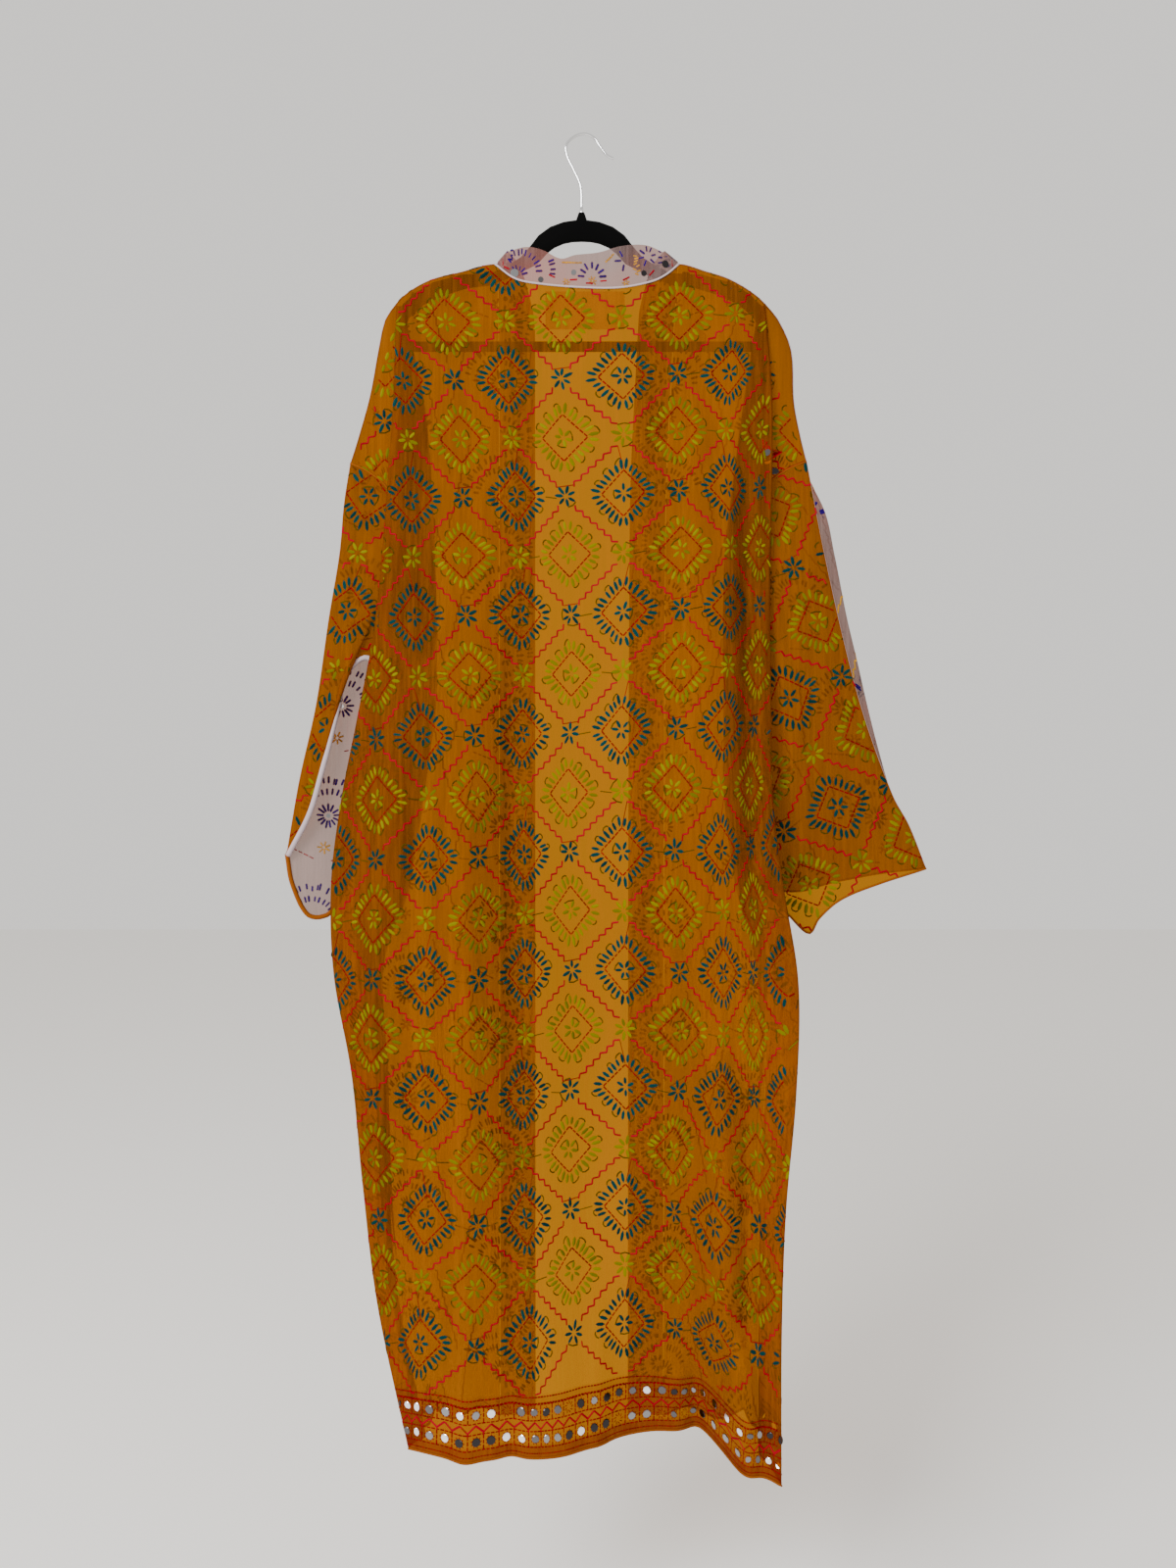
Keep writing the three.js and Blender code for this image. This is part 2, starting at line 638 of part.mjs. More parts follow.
function hookGeometry() {
  const route = new THREE.CatmullRomCurve3(HOOK_PATH.map((p) => new THREE.Vector3(p.x, 0, p.z)));
  const section = new THREE.Shape();
  section.absarc(0, 0, HOOK_WIRE / 2, 0, 2 * Math.PI);
  return new THREE.ExtrudeGeometry(section, { steps: 32, extrudePath: route, curveSegments: 5 });
}

addPiece('back', clothWall(backGrid()), ORANGE());
for (const side of ['left', 'right']) {
  addPiece(`front_${side}`, clothWall(frontGrid(side)), LILAC());
  addPiece(`sleeve_${side}_back`, clothWall(sleeveGrid(side, -1)), ORANGE());
  addPiece(`sleeve_${side}_front`, clothWall(sleeveGrid(side, 1)), LILAC());
}
addPiece('neckband', clothWall(neckbandGrid()), LILAC());

const label = new THREE.BoxGeometry(LABEL.width, LABEL.thickness, LABEL.height);
label.translate(LABEL.x, LABEL.y, LABEL.top - LABEL.height / 2);
addPiece('neck_label', label, cloth('label_cloth', 0xd8d2c6));
const velvet = new THREE.MeshStandardMaterial({ color: 0x060606, roughness: 1 });
const chrome = new THREE.MeshStandardMaterial({ color: 0xb8b8b8, roughness: 0.2, metalness: 1 });
addPiece('hanger', hangerGeometry(), velvet);
addPiece('hanger_hook', hookGeometry(), chrome);

export default robe;
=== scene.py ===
import json
import math

import bmesh
import bpy
import numpy as np
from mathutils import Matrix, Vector

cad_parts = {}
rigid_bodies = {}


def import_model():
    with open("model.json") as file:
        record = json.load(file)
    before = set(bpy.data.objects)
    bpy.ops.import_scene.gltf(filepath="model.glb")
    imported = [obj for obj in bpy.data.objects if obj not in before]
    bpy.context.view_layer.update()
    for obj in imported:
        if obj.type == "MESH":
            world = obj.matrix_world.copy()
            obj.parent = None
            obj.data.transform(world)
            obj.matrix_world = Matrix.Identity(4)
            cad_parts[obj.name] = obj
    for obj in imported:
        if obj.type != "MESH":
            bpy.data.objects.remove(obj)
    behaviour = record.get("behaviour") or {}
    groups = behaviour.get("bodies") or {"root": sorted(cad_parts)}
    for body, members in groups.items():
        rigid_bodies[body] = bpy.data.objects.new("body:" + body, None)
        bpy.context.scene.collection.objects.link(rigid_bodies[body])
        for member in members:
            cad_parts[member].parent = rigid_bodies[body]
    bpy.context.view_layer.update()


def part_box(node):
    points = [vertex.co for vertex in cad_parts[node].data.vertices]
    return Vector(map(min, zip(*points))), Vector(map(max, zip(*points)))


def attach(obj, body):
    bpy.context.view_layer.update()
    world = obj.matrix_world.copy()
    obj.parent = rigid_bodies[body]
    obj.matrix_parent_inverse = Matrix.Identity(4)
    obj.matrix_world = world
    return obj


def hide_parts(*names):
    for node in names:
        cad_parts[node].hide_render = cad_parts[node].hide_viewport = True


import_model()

MM = 0.001

# The robe's shape. Tables hold x, y and z, and face -1 is the back and 1 the front.

HEM_Z = -1440
TIP_Z = -188  # where each front fold starts on the shoulder seam
UNDERARM_Z = -470
HALF_SEAM = 0.95  # half of the gap between back and front at their seams
SEAM_GAP = 0.6
NECK_Y = -6.5
BAND_WIDTH = 40
RIM_SHARE = 0.0045  # share of the cloth's length taken by the turn over the hanger
RIM_TUCK = 0.06
FIRST_ROW = 80.8  # height over which the side seam leaves the underarm
FLARE_SHARE = 0.25  # share of a sleeve's width over which its front half flares out
BULGE_IN = 0.6  # how much flatter a sleeve is at its inner edge
CREASE_FADE = 90  # length over which a crease grows or dies away
FLAP_STEPS, TUCK_STEPS = 14, 8  # columns of each flap and of the tuck beside it
BACK_DEPTHS, FRONT_DEPTHS = 8, 4


def table(names, *rows):
    """A short table with named columns, read with at_height or at_x."""
    return dict(zip(names.split(), np.array(rows, float).T))


SHOULDER = table(
    "x z",
    (-222, -204), (-215, -193), (-200, -177), (-174, -162), (-140, -153), (-102, -144),
    (104, -144), (133, -152), (160, -161), (188, -178), (204, -194), (212, -204),
)
NECKLINE = table(
    "x z",
    (-101, -147), (-79, -163), (-51, -169), (-2, -173),
    (38, -173), (74, -166), (90, -158), (103, -147),
)
# The back between its two folds: their x, and eight depths at equal steps from left to right
BACK = table(
    "z left right y0 y1 y2 y3 y4 y5 y6 y7",
    (-188, -210, 198, -9, -8, -7, -7, -7, -8, -8, -9),
    (-290, -212, 205, -15, -14, -10, -8, -10, -14, -15, -14),
    (-380, -217, 205, -20, -19, -12, -9, -12, -20, -22, -16),
    (-470, -223, 203, -24, -26, -17, -9, -12, -25, -30, -18),
    (-560, -233, 202, -24, -33, -25, -10, -13, -32, -40, -23),
    (-650, -251, 202, -20, -40, -36, -13, -16, -42, -50, -30),
    (-740, -269, 202, -18, -42, -45, -18, -16, -50, -60, -42),
    (-830, -280, 210, -18, -42, -52, -25, -13, -54, -66, -60),
    (-930, -277, 221, -20, -36, -54, -29, -10, -44, -64, -88),
    (-1040, -257, 216, -22, -30, -52, -30, -9, -32, -66, -104),
    (-1160, -244, 204, -26, -32, -54, -34, -9, -28, -72, -112),
    (-1290, -227, 200, -30, -40, -55, -40, -12, -20, -66, -110),
    (-1440, -192, 200, -40, -60, -60, -54, -18, -4, -30, -108),
)
# Creases run from top to bottom. A positive depth stands proud, a negative one is a trough.
CREASES = table(
    "x_top z_top x_bottom z_bottom width depth",
    (-84, -520, -80, -1440, 13, -7),
    (136, -960, 144, -1360, 15, 18),
    (128, -1300, 128, -1440, 13, -14),
    (162, -1270, 164, -1440, 17, 34),
    (112, -980, 118, -1440, 14, -9),
    (172, -1000, 172, -1360, 12, -16),
    (174, -330, 178, -860, 11, -8),
    (12, -1250, 16, -1440, 14, 6),
    (-170, -420, -196, -1040, 14, -7),
    (-130, -700, -128, -1440, 15, 8),
)
SIDE = {
    "left": table(
        "z valley_in valley_y seam_in",
        (-188, 5, -8, 3), (-290, 30, -6, 16), (-380, 44, -6, 24), (-470, 54, -7, 31),
        (-560, 66, -7, 44), (-650, 82, -8, 61), (-830, 84, -8, 66), (-930, 50, -9, 36),
        (-1160, 26, -10, 14), (-1440, 16, -16, 6),
    ),
    "right": table(
        "z valley_in valley_y seam_in",
        (-188, 5, -8, 3), (-290, 28, -6, 14), (-380, 40, -6, 20), (-470, 48, -7, 25),
        (-650, 48, -9, 28), (-830, 44, -20, 36), (-930, 30, -40, 24),
        (-1160, 16, -50, 10), (-1440, 14, -52, 8),
    ),
}
ARMHOLE = {
    "left": table("x z", (-262, -365), (-243, -374), (-222, -391), (-203, -430), (-192, -470)),
    "right": table("x z", (245, -363), (224, -372), (203, -388), (187, -430), (178, -470)),
}
DROPPED_SHOULDER = {
    "left": table(
        "x z", (-210, -188), (-223, -205), (-231, -240), (-240, -290), (-253, -337), (-262, -365)
    ),
    "right": table(
        "x z", (198, -188), (213, -205), (228, -240), (231, -297), (238, -335), (245, -363)
    ),
}
FRONT = table(
    "z fold_in y0 y1 y2 y3",
    (-188, 0, 9, 8, 8, 7), (-290, 12, 14, 10, 15, 11), (-380, 14, 18, 12, 20, 13),
    (-470, 14, 22, 12, 26, 15), (-650, 12, 28, 12, 34, 17), (-830, 14, 34, 14, 40, 19),
    (-1040, 14, 38, 16, 44, 22), (-1290, 16, 40, 18, 44, 25), (-1440, 18, 42, 20, 46, 27),
)
FRONT_VALLEY_Y = 6.5
FRONT_SEAM = table(
    "z left right", (-144, -99, 103), (-250, -98, 97), (-420, -98, 90), (-1440, -98, 88)
)
SLEEVE = {
    "left": {
        "outer": table(
            "x z", (-262, -365), (-269, -410), (-274, -465), (-286, -538), (-300, -633),
            (-319, -719), (-333, -800),
        ),
        "inner": table("x z", (-192, -470), (-197, -535), (-220, -603)),
        "cuff_back": table(
            "x z", (-333, -800), (-306, -750), (-290, -695), (-280, -653), (-266, -597),
            (-245, -580), (-220, -603),
        ),
        "cuff_front": table(
            "x z", (-333, -800), (-328, -834), (-310, -870), (-286, -866), (-262, -815),
            (-238, -730), (-220, -603),
        ),
        "bulge_back": 12,
        "bulge_front": 12,
        "fold": (0.3, 0.12, 3),
        "flare": table("z out", (-365, 0), (-800, 0)),
    },
    "right": {
        "outer": table(
            "x z", (245, -363), (254, -411), (264, -462), (285, -557), (308, -644),
            (341, -735), (359, -768), (378, -816),
        ),
        "inner": table("x z", (178, -470), (182, -640), (182, -826)),
        "cuff_back": table(
            "x z", (378, -816), (322, -833), (280, -850), (256, -870), (246, -887),
            (225, -868), (182, -826),
        ),
        "cuff_front": table(
            "x z", (378, -816), (330, -822), (280, -832), (240, -842), (200, -838), (182, -826)
        ),
        "bulge_back": 13,
        "bulge_front": 12,
        "fold": (0.55, 0.12, 6),
        "flare": table(
            "z out", (-363, 3), (-411, 25), (-462, 28), (-530, 27), (-600, 27), (-684, 22),
            (-760, 12), (-816, 2),
        ),
    },
}
BAND_TOP = table(
    "x z", (-86, -133), (-67, -128), (-49, -131), (-28, -141), (-13, -137), (14, -134),
    (39, -127), (66, -126), (86, -134),
)
INWARD = {"left": 1, "right": -1}


def cubic(start, rise, slope_0, slope_1, s):
    """A cubic from start, with this rise and these slopes at its two ends."""
    bend = 3 * rise - 2 * slope_0 - slope_1
    return start + s * slope_0 + s**2 * bend + s**3 * (slope_0 + slope_1 - 2 * rise)


def smooth(knots, values, t):
    """Smooth values between listed ones, with the slope of their neighbours."""
    knots = np.asarray(knots, float)
    values = np.asarray(values, float)
    t = np.clip(t, knots[0], knots[-1])
    last = len(knots) - 1
    i = np.clip(np.searchsorted(knots, t, side="left") - 1, 0, last - 1)
    before = np.maximum(np.arange(last + 1) - 1, 0)
    after = np.minimum(np.arange(last + 1) + 1, last)
    slope = (values[after] - values[before]) / (knots[after] - knots[before])
    step = knots[i + 1] - knots[i]
    s = (t - knots[i]) / step
    return cubic(values[i], values[i + 1] - values[i], slope[i] * step, slope[i + 1] * step, s)


def smooth_across(stack, share):
    """Smooth values at equal steps of share, where each value is itself an array."""
    stack = np.asarray(stack, float)
    last = len(stack) - 1
    at = np.clip(share, 0, 1) * last
    i = np.clip(at.astype(int), 0, last - 1)
    slope = np.gradient(stack, axis=0)

    def pick(values, k):
        return np.take_along_axis(values, k[None], 0)[0]

    start = pick(stack, i)
    rise = pick(stack, i + 1) - start
    return cubic(start, rise, pick(slope, i), pick(slope, i + 1), at - i)


def at_height(rows, key, z):
    return smooth(-rows["z"], rows[key], -np.asarray(z, float))


def at_x(rows, x):
    return smooth(rows["x"], rows["z"], x)


def along(rows, share):
    """x and z on a line of listed points, at a share of its length."""
    step = np.hypot(np.diff(rows["x"]), np.diff(rows["z"]))
    run = np.concatenate([[0], np.cumsum(step)])
    at = np.asarray(share, float) * run[-1]
    return smooth(run, rows["x"], at), smooth(run, rows["z"], at)


def mix(a, b, t):
    return a + (b - a) * t


def smoothstep(x, low, high):
    t = np.clip((x - low) / (high - low), 0, 1)
    return t * t * (3 - 2 * t)


def fold_height(s):
    return mix(TIP_Z, HEM_Z, s)


def fold_x(side, z):
    return at_height(BACK, side, z)


def crease_depth(creases, x, z):
    total = 0
    for x_top, z_top, x_bottom, z_bottom, width, depth in zip(*creases.values()):
        down = (z_top - z) / (z_top - z_bottom)
        grown = smoothstep(z_top - z, 0, CREASE_FADE)
        if z_bottom > HEM_Z:
            grown = grown * smoothstep(z - z_bottom, 0, CREASE_FADE)
        off = (x - mix(x_top, x_bottom, down)) / width
        total = total + depth * np.exp(-off * off) * grown
    return total


def rim_turn(s):
    """How far a point near the top edge has turned over the hanger: across and down."""
    turn = np.clip(s / RIM_SHARE, 0, 1) * np.pi / 2
    return np.sin(turn), 1 - np.cos(turn)


def back_middle(share, s):
    top_x = mix(BACK["left"][0], BACK["right"][0], share)
    in_neck = (top_x > NECKLINE["x"][0]) & (top_x < NECKLINE["x"][-1])
    top_z = np.where(in_neck, at_x(NECKLINE, top_x), at_x(SHOULDER, top_x))
    top_y = np.where(in_neck, NECK_Y, -HALF_SEAM)
    z = mix(top_z, HEM_Z, s)
    x = mix(fold_x("left", z), fold_x("right", z), share)
    x = mix(top_x, x, np.clip(s / RIM_SHARE, 0, 1))
    depths = [at_height(BACK, f"y{k}", z) for k in range(BACK_DEPTHS)]
    y = smooth_across(depths, share) - crease_depth(CREASES, x, z)
    return np.stack([x, mix(top_y, y, rim_turn(s)[0]), z], -1)


def front_middle(side, share, s):
    top_x = mix(BACK[side][0], FRONT_SEAM[side][0], share)
    z = mix(at_x(SHOULDER, top_x), HEM_Z, s)
    fold = fold_x(side, z) + INWARD[side] * at_height(FRONT, "fold_in", z)
    x = mix(fold, at_height(FRONT_SEAM, side, z), share)
    x = mix(top_x, x, np.clip(s / RIM_SHARE, 0, 1))
    depths = [at_height(FRONT, f"y{k}", z) for k in range(FRONT_DEPTHS)]
    y = smooth_across(depths, share)
    return np.stack([x, mix(HALF_SEAM, y, rim_turn(s)[0]), z], -1)


def side_seam(side, s):
    z = fold_height(s)
    x, arm_z = along(ARMHOLE[side], np.clip((TIP_Z - z) / (TIP_Z - UNDERARM_Z), 0, 1))
    low_x = fold_x(side, z) + INWARD[side] * at_height(SIDE[side], "seam_in", z)
    below = z < UNDERARM_Z
    ease = np.clip((UNDERARM_Z - z) / FIRST_ROW / 2, 0, 1)
    return np.where(below, mix(ARMHOLE[side]["x"][-1], low_x, ease), x), np.where(below, z, arm_z)


def flap(side, face, w, s, fold):
    """From the side seam (w 0) to the tucked-in valley (w 1) and on to the fold (w 2)."""
    z = fold_height(s)
    seam_x, seam_z = side_seam(side, s)
    valley_x = fold_x(side, z) + INWARD[side] * at_height(SIDE[side], "valley_in", z)
    valley_y = at_height(SIDE[side], "valley_y", z) if face < 0 else np.full_like(z, FRONT_VALLEY_Y)
    hangs = np.clip((UNDERARM_Z - z) / FIRST_ROW, 0, 1)
    t = np.clip(w, 0, 1)
    rise = mix(1 - (1 - t) ** 2, t, hangs)
    outer = np.stack(
        [mix(seam_x, valley_x, t), mix(face * HALF_SEAM, valley_y, rise), mix(seam_z, z, t)], -1
    )
    t = np.clip(w - 1, 0, 1)
    tuck = np.stack(
        [mix(valley_x, fold[..., 0], 1 - (1 - t) ** 2), mix(valley_y, fold[..., 1], t), z], -1
    )
    body = np.where((w <= 1)[..., None], outer, tuck)
    share = np.where(w <= 1, mix(1, RIM_TUCK, np.clip(w, 0, 1)), mix(RIM_TUCK, 0, t))
    rim_x, rim_z = along(DROPPED_SHOULDER[side], share)
    rim = np.stack([rim_x, np.full_like(rim_x, face * HALF_SEAM), rim_z], -1)
    out, down = rim_turn(s)
    turn = np.stack([down, out, down], -1)
    return mix(rim, body, turn)


def even(count):
    return np.linspace(0, 1, count + 1)


def sheet_rows(count):
    """Shares of the length: a few for the turn at the top, then even ones."""
    return np.concatenate([RIM_SHARE * even(5)[:-1], mix(RIM_SHARE, 1, even(count))])


def body_grid(face, side, middle, rows):
    """Points of one side's flap and tuck, joined to the fold of the middle."""
    steps = np.concatenate([even(FLAP_STEPS)[:-1], 1 + even(TUCK_STEPS)[:-1]])
    s, w = np.meshgrid(rows, steps, indexing="ij")
    return flap(side, face, w, s, middle)


def back_points(rows, columns):
    s, share = np.meshgrid(rows, even(columns), indexing="ij")
    middle = back_middle(share, s)
    left = body_grid(-1, "left", middle[:, :1], rows)
    right = body_grid(-1, "right", middle[:, -1:], rows)
    return np.concatenate([left, middle, right[:, ::-1]], 1)


def front_points(side, rows, columns):
    s, share = np.meshgrid(rows, even(columns), indexing="ij")
    middle = front_middle(side, share, s)
    outer = body_grid(1, side, middle[:, :1], rows)
    return np.concatenate([outer, middle], 1)


def sleeve_points(side, face, rows, columns):
    part = SLEEVE[side]
    cuff = part["cuff_back" if face < 0 else "cuff_front"]
    bulge = part["bulge_back" if face < 0 else "bulge_front"]
    v, u = np.meshgrid(even(rows), even(columns), indexing="ij")
    top, low = along(ARMHOLE[side], u), along(cuff, u)
    outer, inner = along(part["outer"], v), along(part["inner"], v)
    place = []
    for k, key in enumerate(("x", "z")):
        upper = mix(part["outer"][key][0], part["inner"][key][0], u)
        corners = mix(upper, mix(cuff[key][0], cuff[key][-1], u), v)
        place.append(mix(top[k], low[k], v) + mix(outer[k], inner[k], u) - corners)
    flare = at_height(part["flare"], "out", outer[1]) if face > 0 else 0
    flare = flare * np.sin(np.pi * np.minimum(u / FLARE_SHARE, 1))
    x = place[0] - INWARD[side] * (SEAM_GAP * 0.7 + flare)
    fold_share, fold_width, fold_depth = part["fold"]
    fold = fold_depth * np.exp(-(((u - fold_share) / fold_width) ** 2)) * v
    swell = np.abs(np.sin(np.pi * u)) ** 0.8 * np.minimum(v * 4, 1) * (1 - BULGE_IN * u)
    y = face * (HALF_SEAM + fold + bulge * swell)
    return np.stack([x, y, place[1] - SEAM_GAP], -1)


BAND_COLUMNS, BAND_STEP = 8, 4


def band_grid():
    """The neckband from one hem, round the back neck and down to the other hem."""
    heights = np.array([0.0045, 0.0248] + list(mix(0.0496, 1, even(24))))

    def edge(side):
        share = np.ones((1, len(heights)))
        seam = front_middle(side, share, heights[None])[0]
        seam[:, 0] += INWARD[side] * SEAM_GAP
        free = seam + np.array([INWARD[side] * BAND_WIDTH, 1, 0])
        free[0] = (-INWARD[side] * 74, 9, -142)
        free[1] = (-INWARD[side] * 61, 10, -186)
        return seam, free

    left_seam, left_free = edge("left")
    right_seam, right_free = edge("right")
    x = np.linspace(NECKLINE["x"][0] + 4, NECKLINE["x"][-1] - 4, 34)
    neck_seam = np.stack([x, np.full_like(x, NECK_Y), at_x(NECKLINE, x) + SEAM_GAP], -1)
    free_x = np.linspace(BAND_TOP["x"][0], BAND_TOP["x"][-1], len(x))
    neck_free = np.stack([free_x, np.full_like(x, NECK_Y - 1.5), at_x(BAND_TOP, free_x)], -1)
    over = {k: np.array([[FRONT_SEAM[k][0] + INWARD[k] * 0.5, 0, -141]]) for k in INWARD}
    over_free = {k: np.array([[-INWARD[k] * 87, 0, -129]]) for k in INWARD}
    seams = np.concatenate([left_seam[::-1], over["left"], neck_seam, over["right"], right_seam])
    frees = np.concatenate(
        [left_free[::-1], over_free["left"], neck_free, over_free["right"], right_free]
    )
    run = run_along((seams + frees) / 2)
    at = np.linspace(0, run[-1], int(run[-1] / BAND_STEP))

    def line(points):
        return np.stack([smooth(run, points[:, k], at) for k in range(3)], -1)

    seam, free = line(seams), line(frees)
    return np.stack([mix(seam, free, t) for t in even(BAND_COLUMNS)], 1)


def run_along(points):
    """How far each point of a line is along it."""
    return np.concatenate([[0], np.cumsum(np.linalg.norm(np.diff(points, axis=0), axis=1))])


def arc_lengths(points):
    """How far each point is along its row and down its column, in millimetres of cloth."""
    across = np.linalg.norm(np.diff(points, axis=1), axis=2)
    down = np.linalg.norm(np.diff(points, axis=0), axis=2)
    u = np.concatenate([np.zeros((len(points), 1)), np.cumsum(across, 1)], 1)
    v = np.concatenate([np.zeros((1, points.shape[1])), np.cumsum(down, 0)], 0)
    return u, v


def shown(name, data):
    """An object of the scene from its finished mesh, or from a lamp's or camera's data."""
    piece = bpy.data.objects.new(name, data)
    bpy.context.scene.collection.objects.link(piece)
    return piece


def smooth_faces(mesh):
    mesh.polygons.foreach_set("use_smooth", [True] * len(mesh.polygons))


def face_outwards(mesh):
    bm = bmesh.new()
    bm.from_mesh(mesh)
    bmesh.ops.recalc_face_normals(bm, faces=bm.faces)
    bm.to_mesh(mesh)
    bm.free()


def sheet_mesh(name, points, u, v):
    """A cloth sheet through a grid of points in millimetres, with its flat cut as its UV map."""
    rows, columns = points.shape[:2]
    mesh = bpy.data.meshes.new(name)
    corner = np.arange(rows * columns).reshape(rows, columns)
    quads = np.stack(
        [corner[:-1, :-1], corner[1:, :-1], corner[1:, 1:], corner[:-1, 1:]], -1
    ).reshape(-1, 4)
    mesh.from_pydata((points.reshape(-1, 3) * MM).tolist(), [], quads.tolist())
    flat = np.stack([u, -v], -1).reshape(-1, 2) * MM
    layer = mesh.uv_layers.new(name="cut")
    layer.data.foreach_set("uv", flat[quads.reshape(-1)].astype(np.float32).ravel())
    smooth_faces(mesh)
    return shown(name, mesh)


# Materials
def paint(name, color, roughness=0.8, metallic=0.0, specular=0.15):
    material = bpy.data.materials.new(name)
    material.use_nodes = True
    shader = material.node_tree.nodes["Principled BSDF"]
    shader.inputs["Base Color"].default_value = (*color, 1)
    shader.inputs["Roughness"].default_value = roughness
    shader.inputs["Metallic"].default_value = metallic
    shader.inputs["Specular IOR Level"].default_value = specular
    return material


def toned(color, share):
    return (*[min(c * share, 1) for c in color], 1)


def node_maker(tree):
    """Gives a function that adds a node, with its settings, and its sockets' values or feeds."""

    def add(kind, sockets=(), **settings):
        node = tree.nodes.new(kind)
        for key, value in settings.items():
            setattr(node, key, value)
        for key, value in dict(sockets).items():
            if isinstance(value, bpy.types.NodeSocket):
                tree.links.new(value, node.inputs[key])
            else:
                node.inputs[key].default_value = value
        return node

    return add


def blend(add, share, a, b):
    """The colour between two colours."""
    return add("ShaderNodeMix", {"Factor": share, "A": a, "B": b}, data_type="RGBA").outputs["Result"]


def thread_paint(name, color, spread=0.3):
    """Thread whose stitches differ a little in shade."""
    material = paint(name, color, 0.7, specular=0.02)
    tree = material.node_tree
    add = node_maker(tree)
    tone = add("ShaderNodeAttribute", attribute_name="tone").outputs["Fac"]
    shade = blend(add, tone, toned(color, 1 - spread), toned(color, 1 + spread))
    tree.links.new(shade, tree.nodes["Principled BSDF"].inputs["Base Color"])
    return material


def mirror_painted_reflections():
    """Small mirrors whose colour paints what each reflects: painted reflections, mostly dark or grey, a
    few bright.
    """
    material = paint("mirror glass", (0.5, 0.5, 0.5), 0.16, 1.0, 0.5)
    tree = material.node_tree
    add = node_maker(tree)
    tone = add("ShaderNodeAttribute", attribute_name="tone").outputs["Fac"]
    # Each mirror's tone picks one painted reflection: dark, grey or bright.
    ramp = add("ShaderNodeValToRGB", {"Fac": tone})
    steps = ramp.color_ramp
    steps.interpolation = "CONSTANT"
    steps.elements[0].color = (0.035, 0.032, 0.034, 1)
    steps.elements[1].position = 0.3
    steps.elements[1].color = (0.12, 0.115, 0.12, 1)
    for place, value in ((0.55, 0.24), (0.82, 0.9)):
        steps.elements.new(place).color = (value, value, value * 1.03, 1)
    tree.links.new(ramp.outputs["Color"], tree.nodes["Principled BSDF"].inputs["Base Color"])
    return material


CRINKLE_AND_FOLD_SHADE_RANGE = (0.7, 1.3)  # the range in which the crinkles and the drape add up; the drape paints the shade of soft folds
HEM_COVER = 0.3  # how much denser the cloth is where it lies double


def sheer_cloth(name, color, tint, cover, blush, patchy):
    """Cloth whose threads take their own colour and whose gaps let tinted light through.

    Crinkles run down it, and broader drape streaks paint the shade of soft folds into its colour,
    together with its uneven density. A blush colour lies on it in soft patches and on its "ground"."""
    material = paint(name, color, 0.85, specular=0.05)
    tree = material.node_tree
    add = node_maker(tree)
    shader = tree.nodes["Principled BSDF"]
    where = add("ShaderNodeTexCoord").outputs["Object"]

    def noise(stretch, detail):
        place = add("ShaderNodeMapping", {"Vector": where, "Scale": stretch}).outputs["Vector"]
        return add("ShaderNodeTexNoise", {"Vector": place, "Scale": 1, "Detail": detail}).outputs["Fac"]

    def ranged(value, low, high, start, stop):
        limits = {"From Min": low, "From Max": high, "To Min": start, "To Max": stop}
        return add("ShaderNodeMapRange", {"Value": value, **limits}).outputs["Result"]

    def reckoned(operation, *values):
        return add("ShaderNodeMath", enumerate(values), operation=operation).outputs[0]

    crinkle = noise((330, 330, 16), 3)
    # The drape noise adds painted shade of soft folds: its streaks blend the colour between a darker
    # and a lighter copy. With the crinkles it also sets how densely the threads cover.
    density_and_fold_shade = reckoned("ADD", crinkle, noise((42, 42, 2.2), 2))
    shade = blend(add, ranged(density_and_fold_shade, *CRINKLE_AND_FOLD_SHADE_RANGE, 0, 1), toned(color, 0.74), toned(color, 1.26))
    ground = add("ShaderNodeAttribute", attribute_name="ground").outputs["Fac"]
    patches = reckoned("MAXIMUM", ranged(noise((9, 9, 9), 2), 0.42, 0.68, 0, patchy), ground)
    tree.links.new(blend(add, patches, shade, (*blush, 1)), shader.inputs["Base Color"])
    bump = add("ShaderNodeBump", {"Strength": 0.35, "Distance": MM, "Height": crinkle})
    tree.links.new(bump.outputs["Normal"], shader.inputs["Normal"])
    dense = ranged(density_and_fold_shade, *CRINKLE_AND_FOLD_SHADE_RANGE, cover - 0.07, cover + 0.07)
    gaps = add("ShaderNodeBsdfTransparent", {"Color": (*tint, 1)}).outputs[0]
    threads = reckoned("MULTIPLY_ADD", ground, HEM_COVER, dense)
    weave = add("ShaderNodeMixShader", {"Fac": threads, 1: gaps, 2: shader.outputs[0]})
    tree.links.new(weave.outputs[0], tree.nodes["Material Output"].inputs["Surface"])
    return material


def woven_label(name, color):
    """Satin tape that glows when light comes through it from behind."""
    material = paint(name, color, 0.7)
    tree = material.node_tree
    add = node_maker(tree)
    front = tree.nodes["Principled BSDF"].outputs[0]
    glow = add("ShaderNodeBsdfTranslucent", {"Color": (*color, 1)}).outputs[0]
    both = add("ShaderNodeMixShader", {"Fac": 0.6, 1: front, 2: glow})
    tree.links.new(both.outputs[0], tree.nodes["Material Output"].inputs["Surface"])
    return material


def finish(piece, slot_name, *nodes, material=None):
    """Gives a piece its material and its body, and hides the solids it stands for. Its slot name is not
    used.
    """
    if material:
        piece.data.materials.append(material)
    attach(piece, "root")
    if nodes:
        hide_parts(*nodes)
    return piece


# Flat cut and grain of the cloth, on which the embroidery is charted
PERIOD_U = 128  # the pattern's repeat across the flat cloth
PERIOD_V = 130.9  # and down it
FIRST_ROW_Z = -208
ROW_TILT = 3.8  # how much higher each repeat lies, from left to right
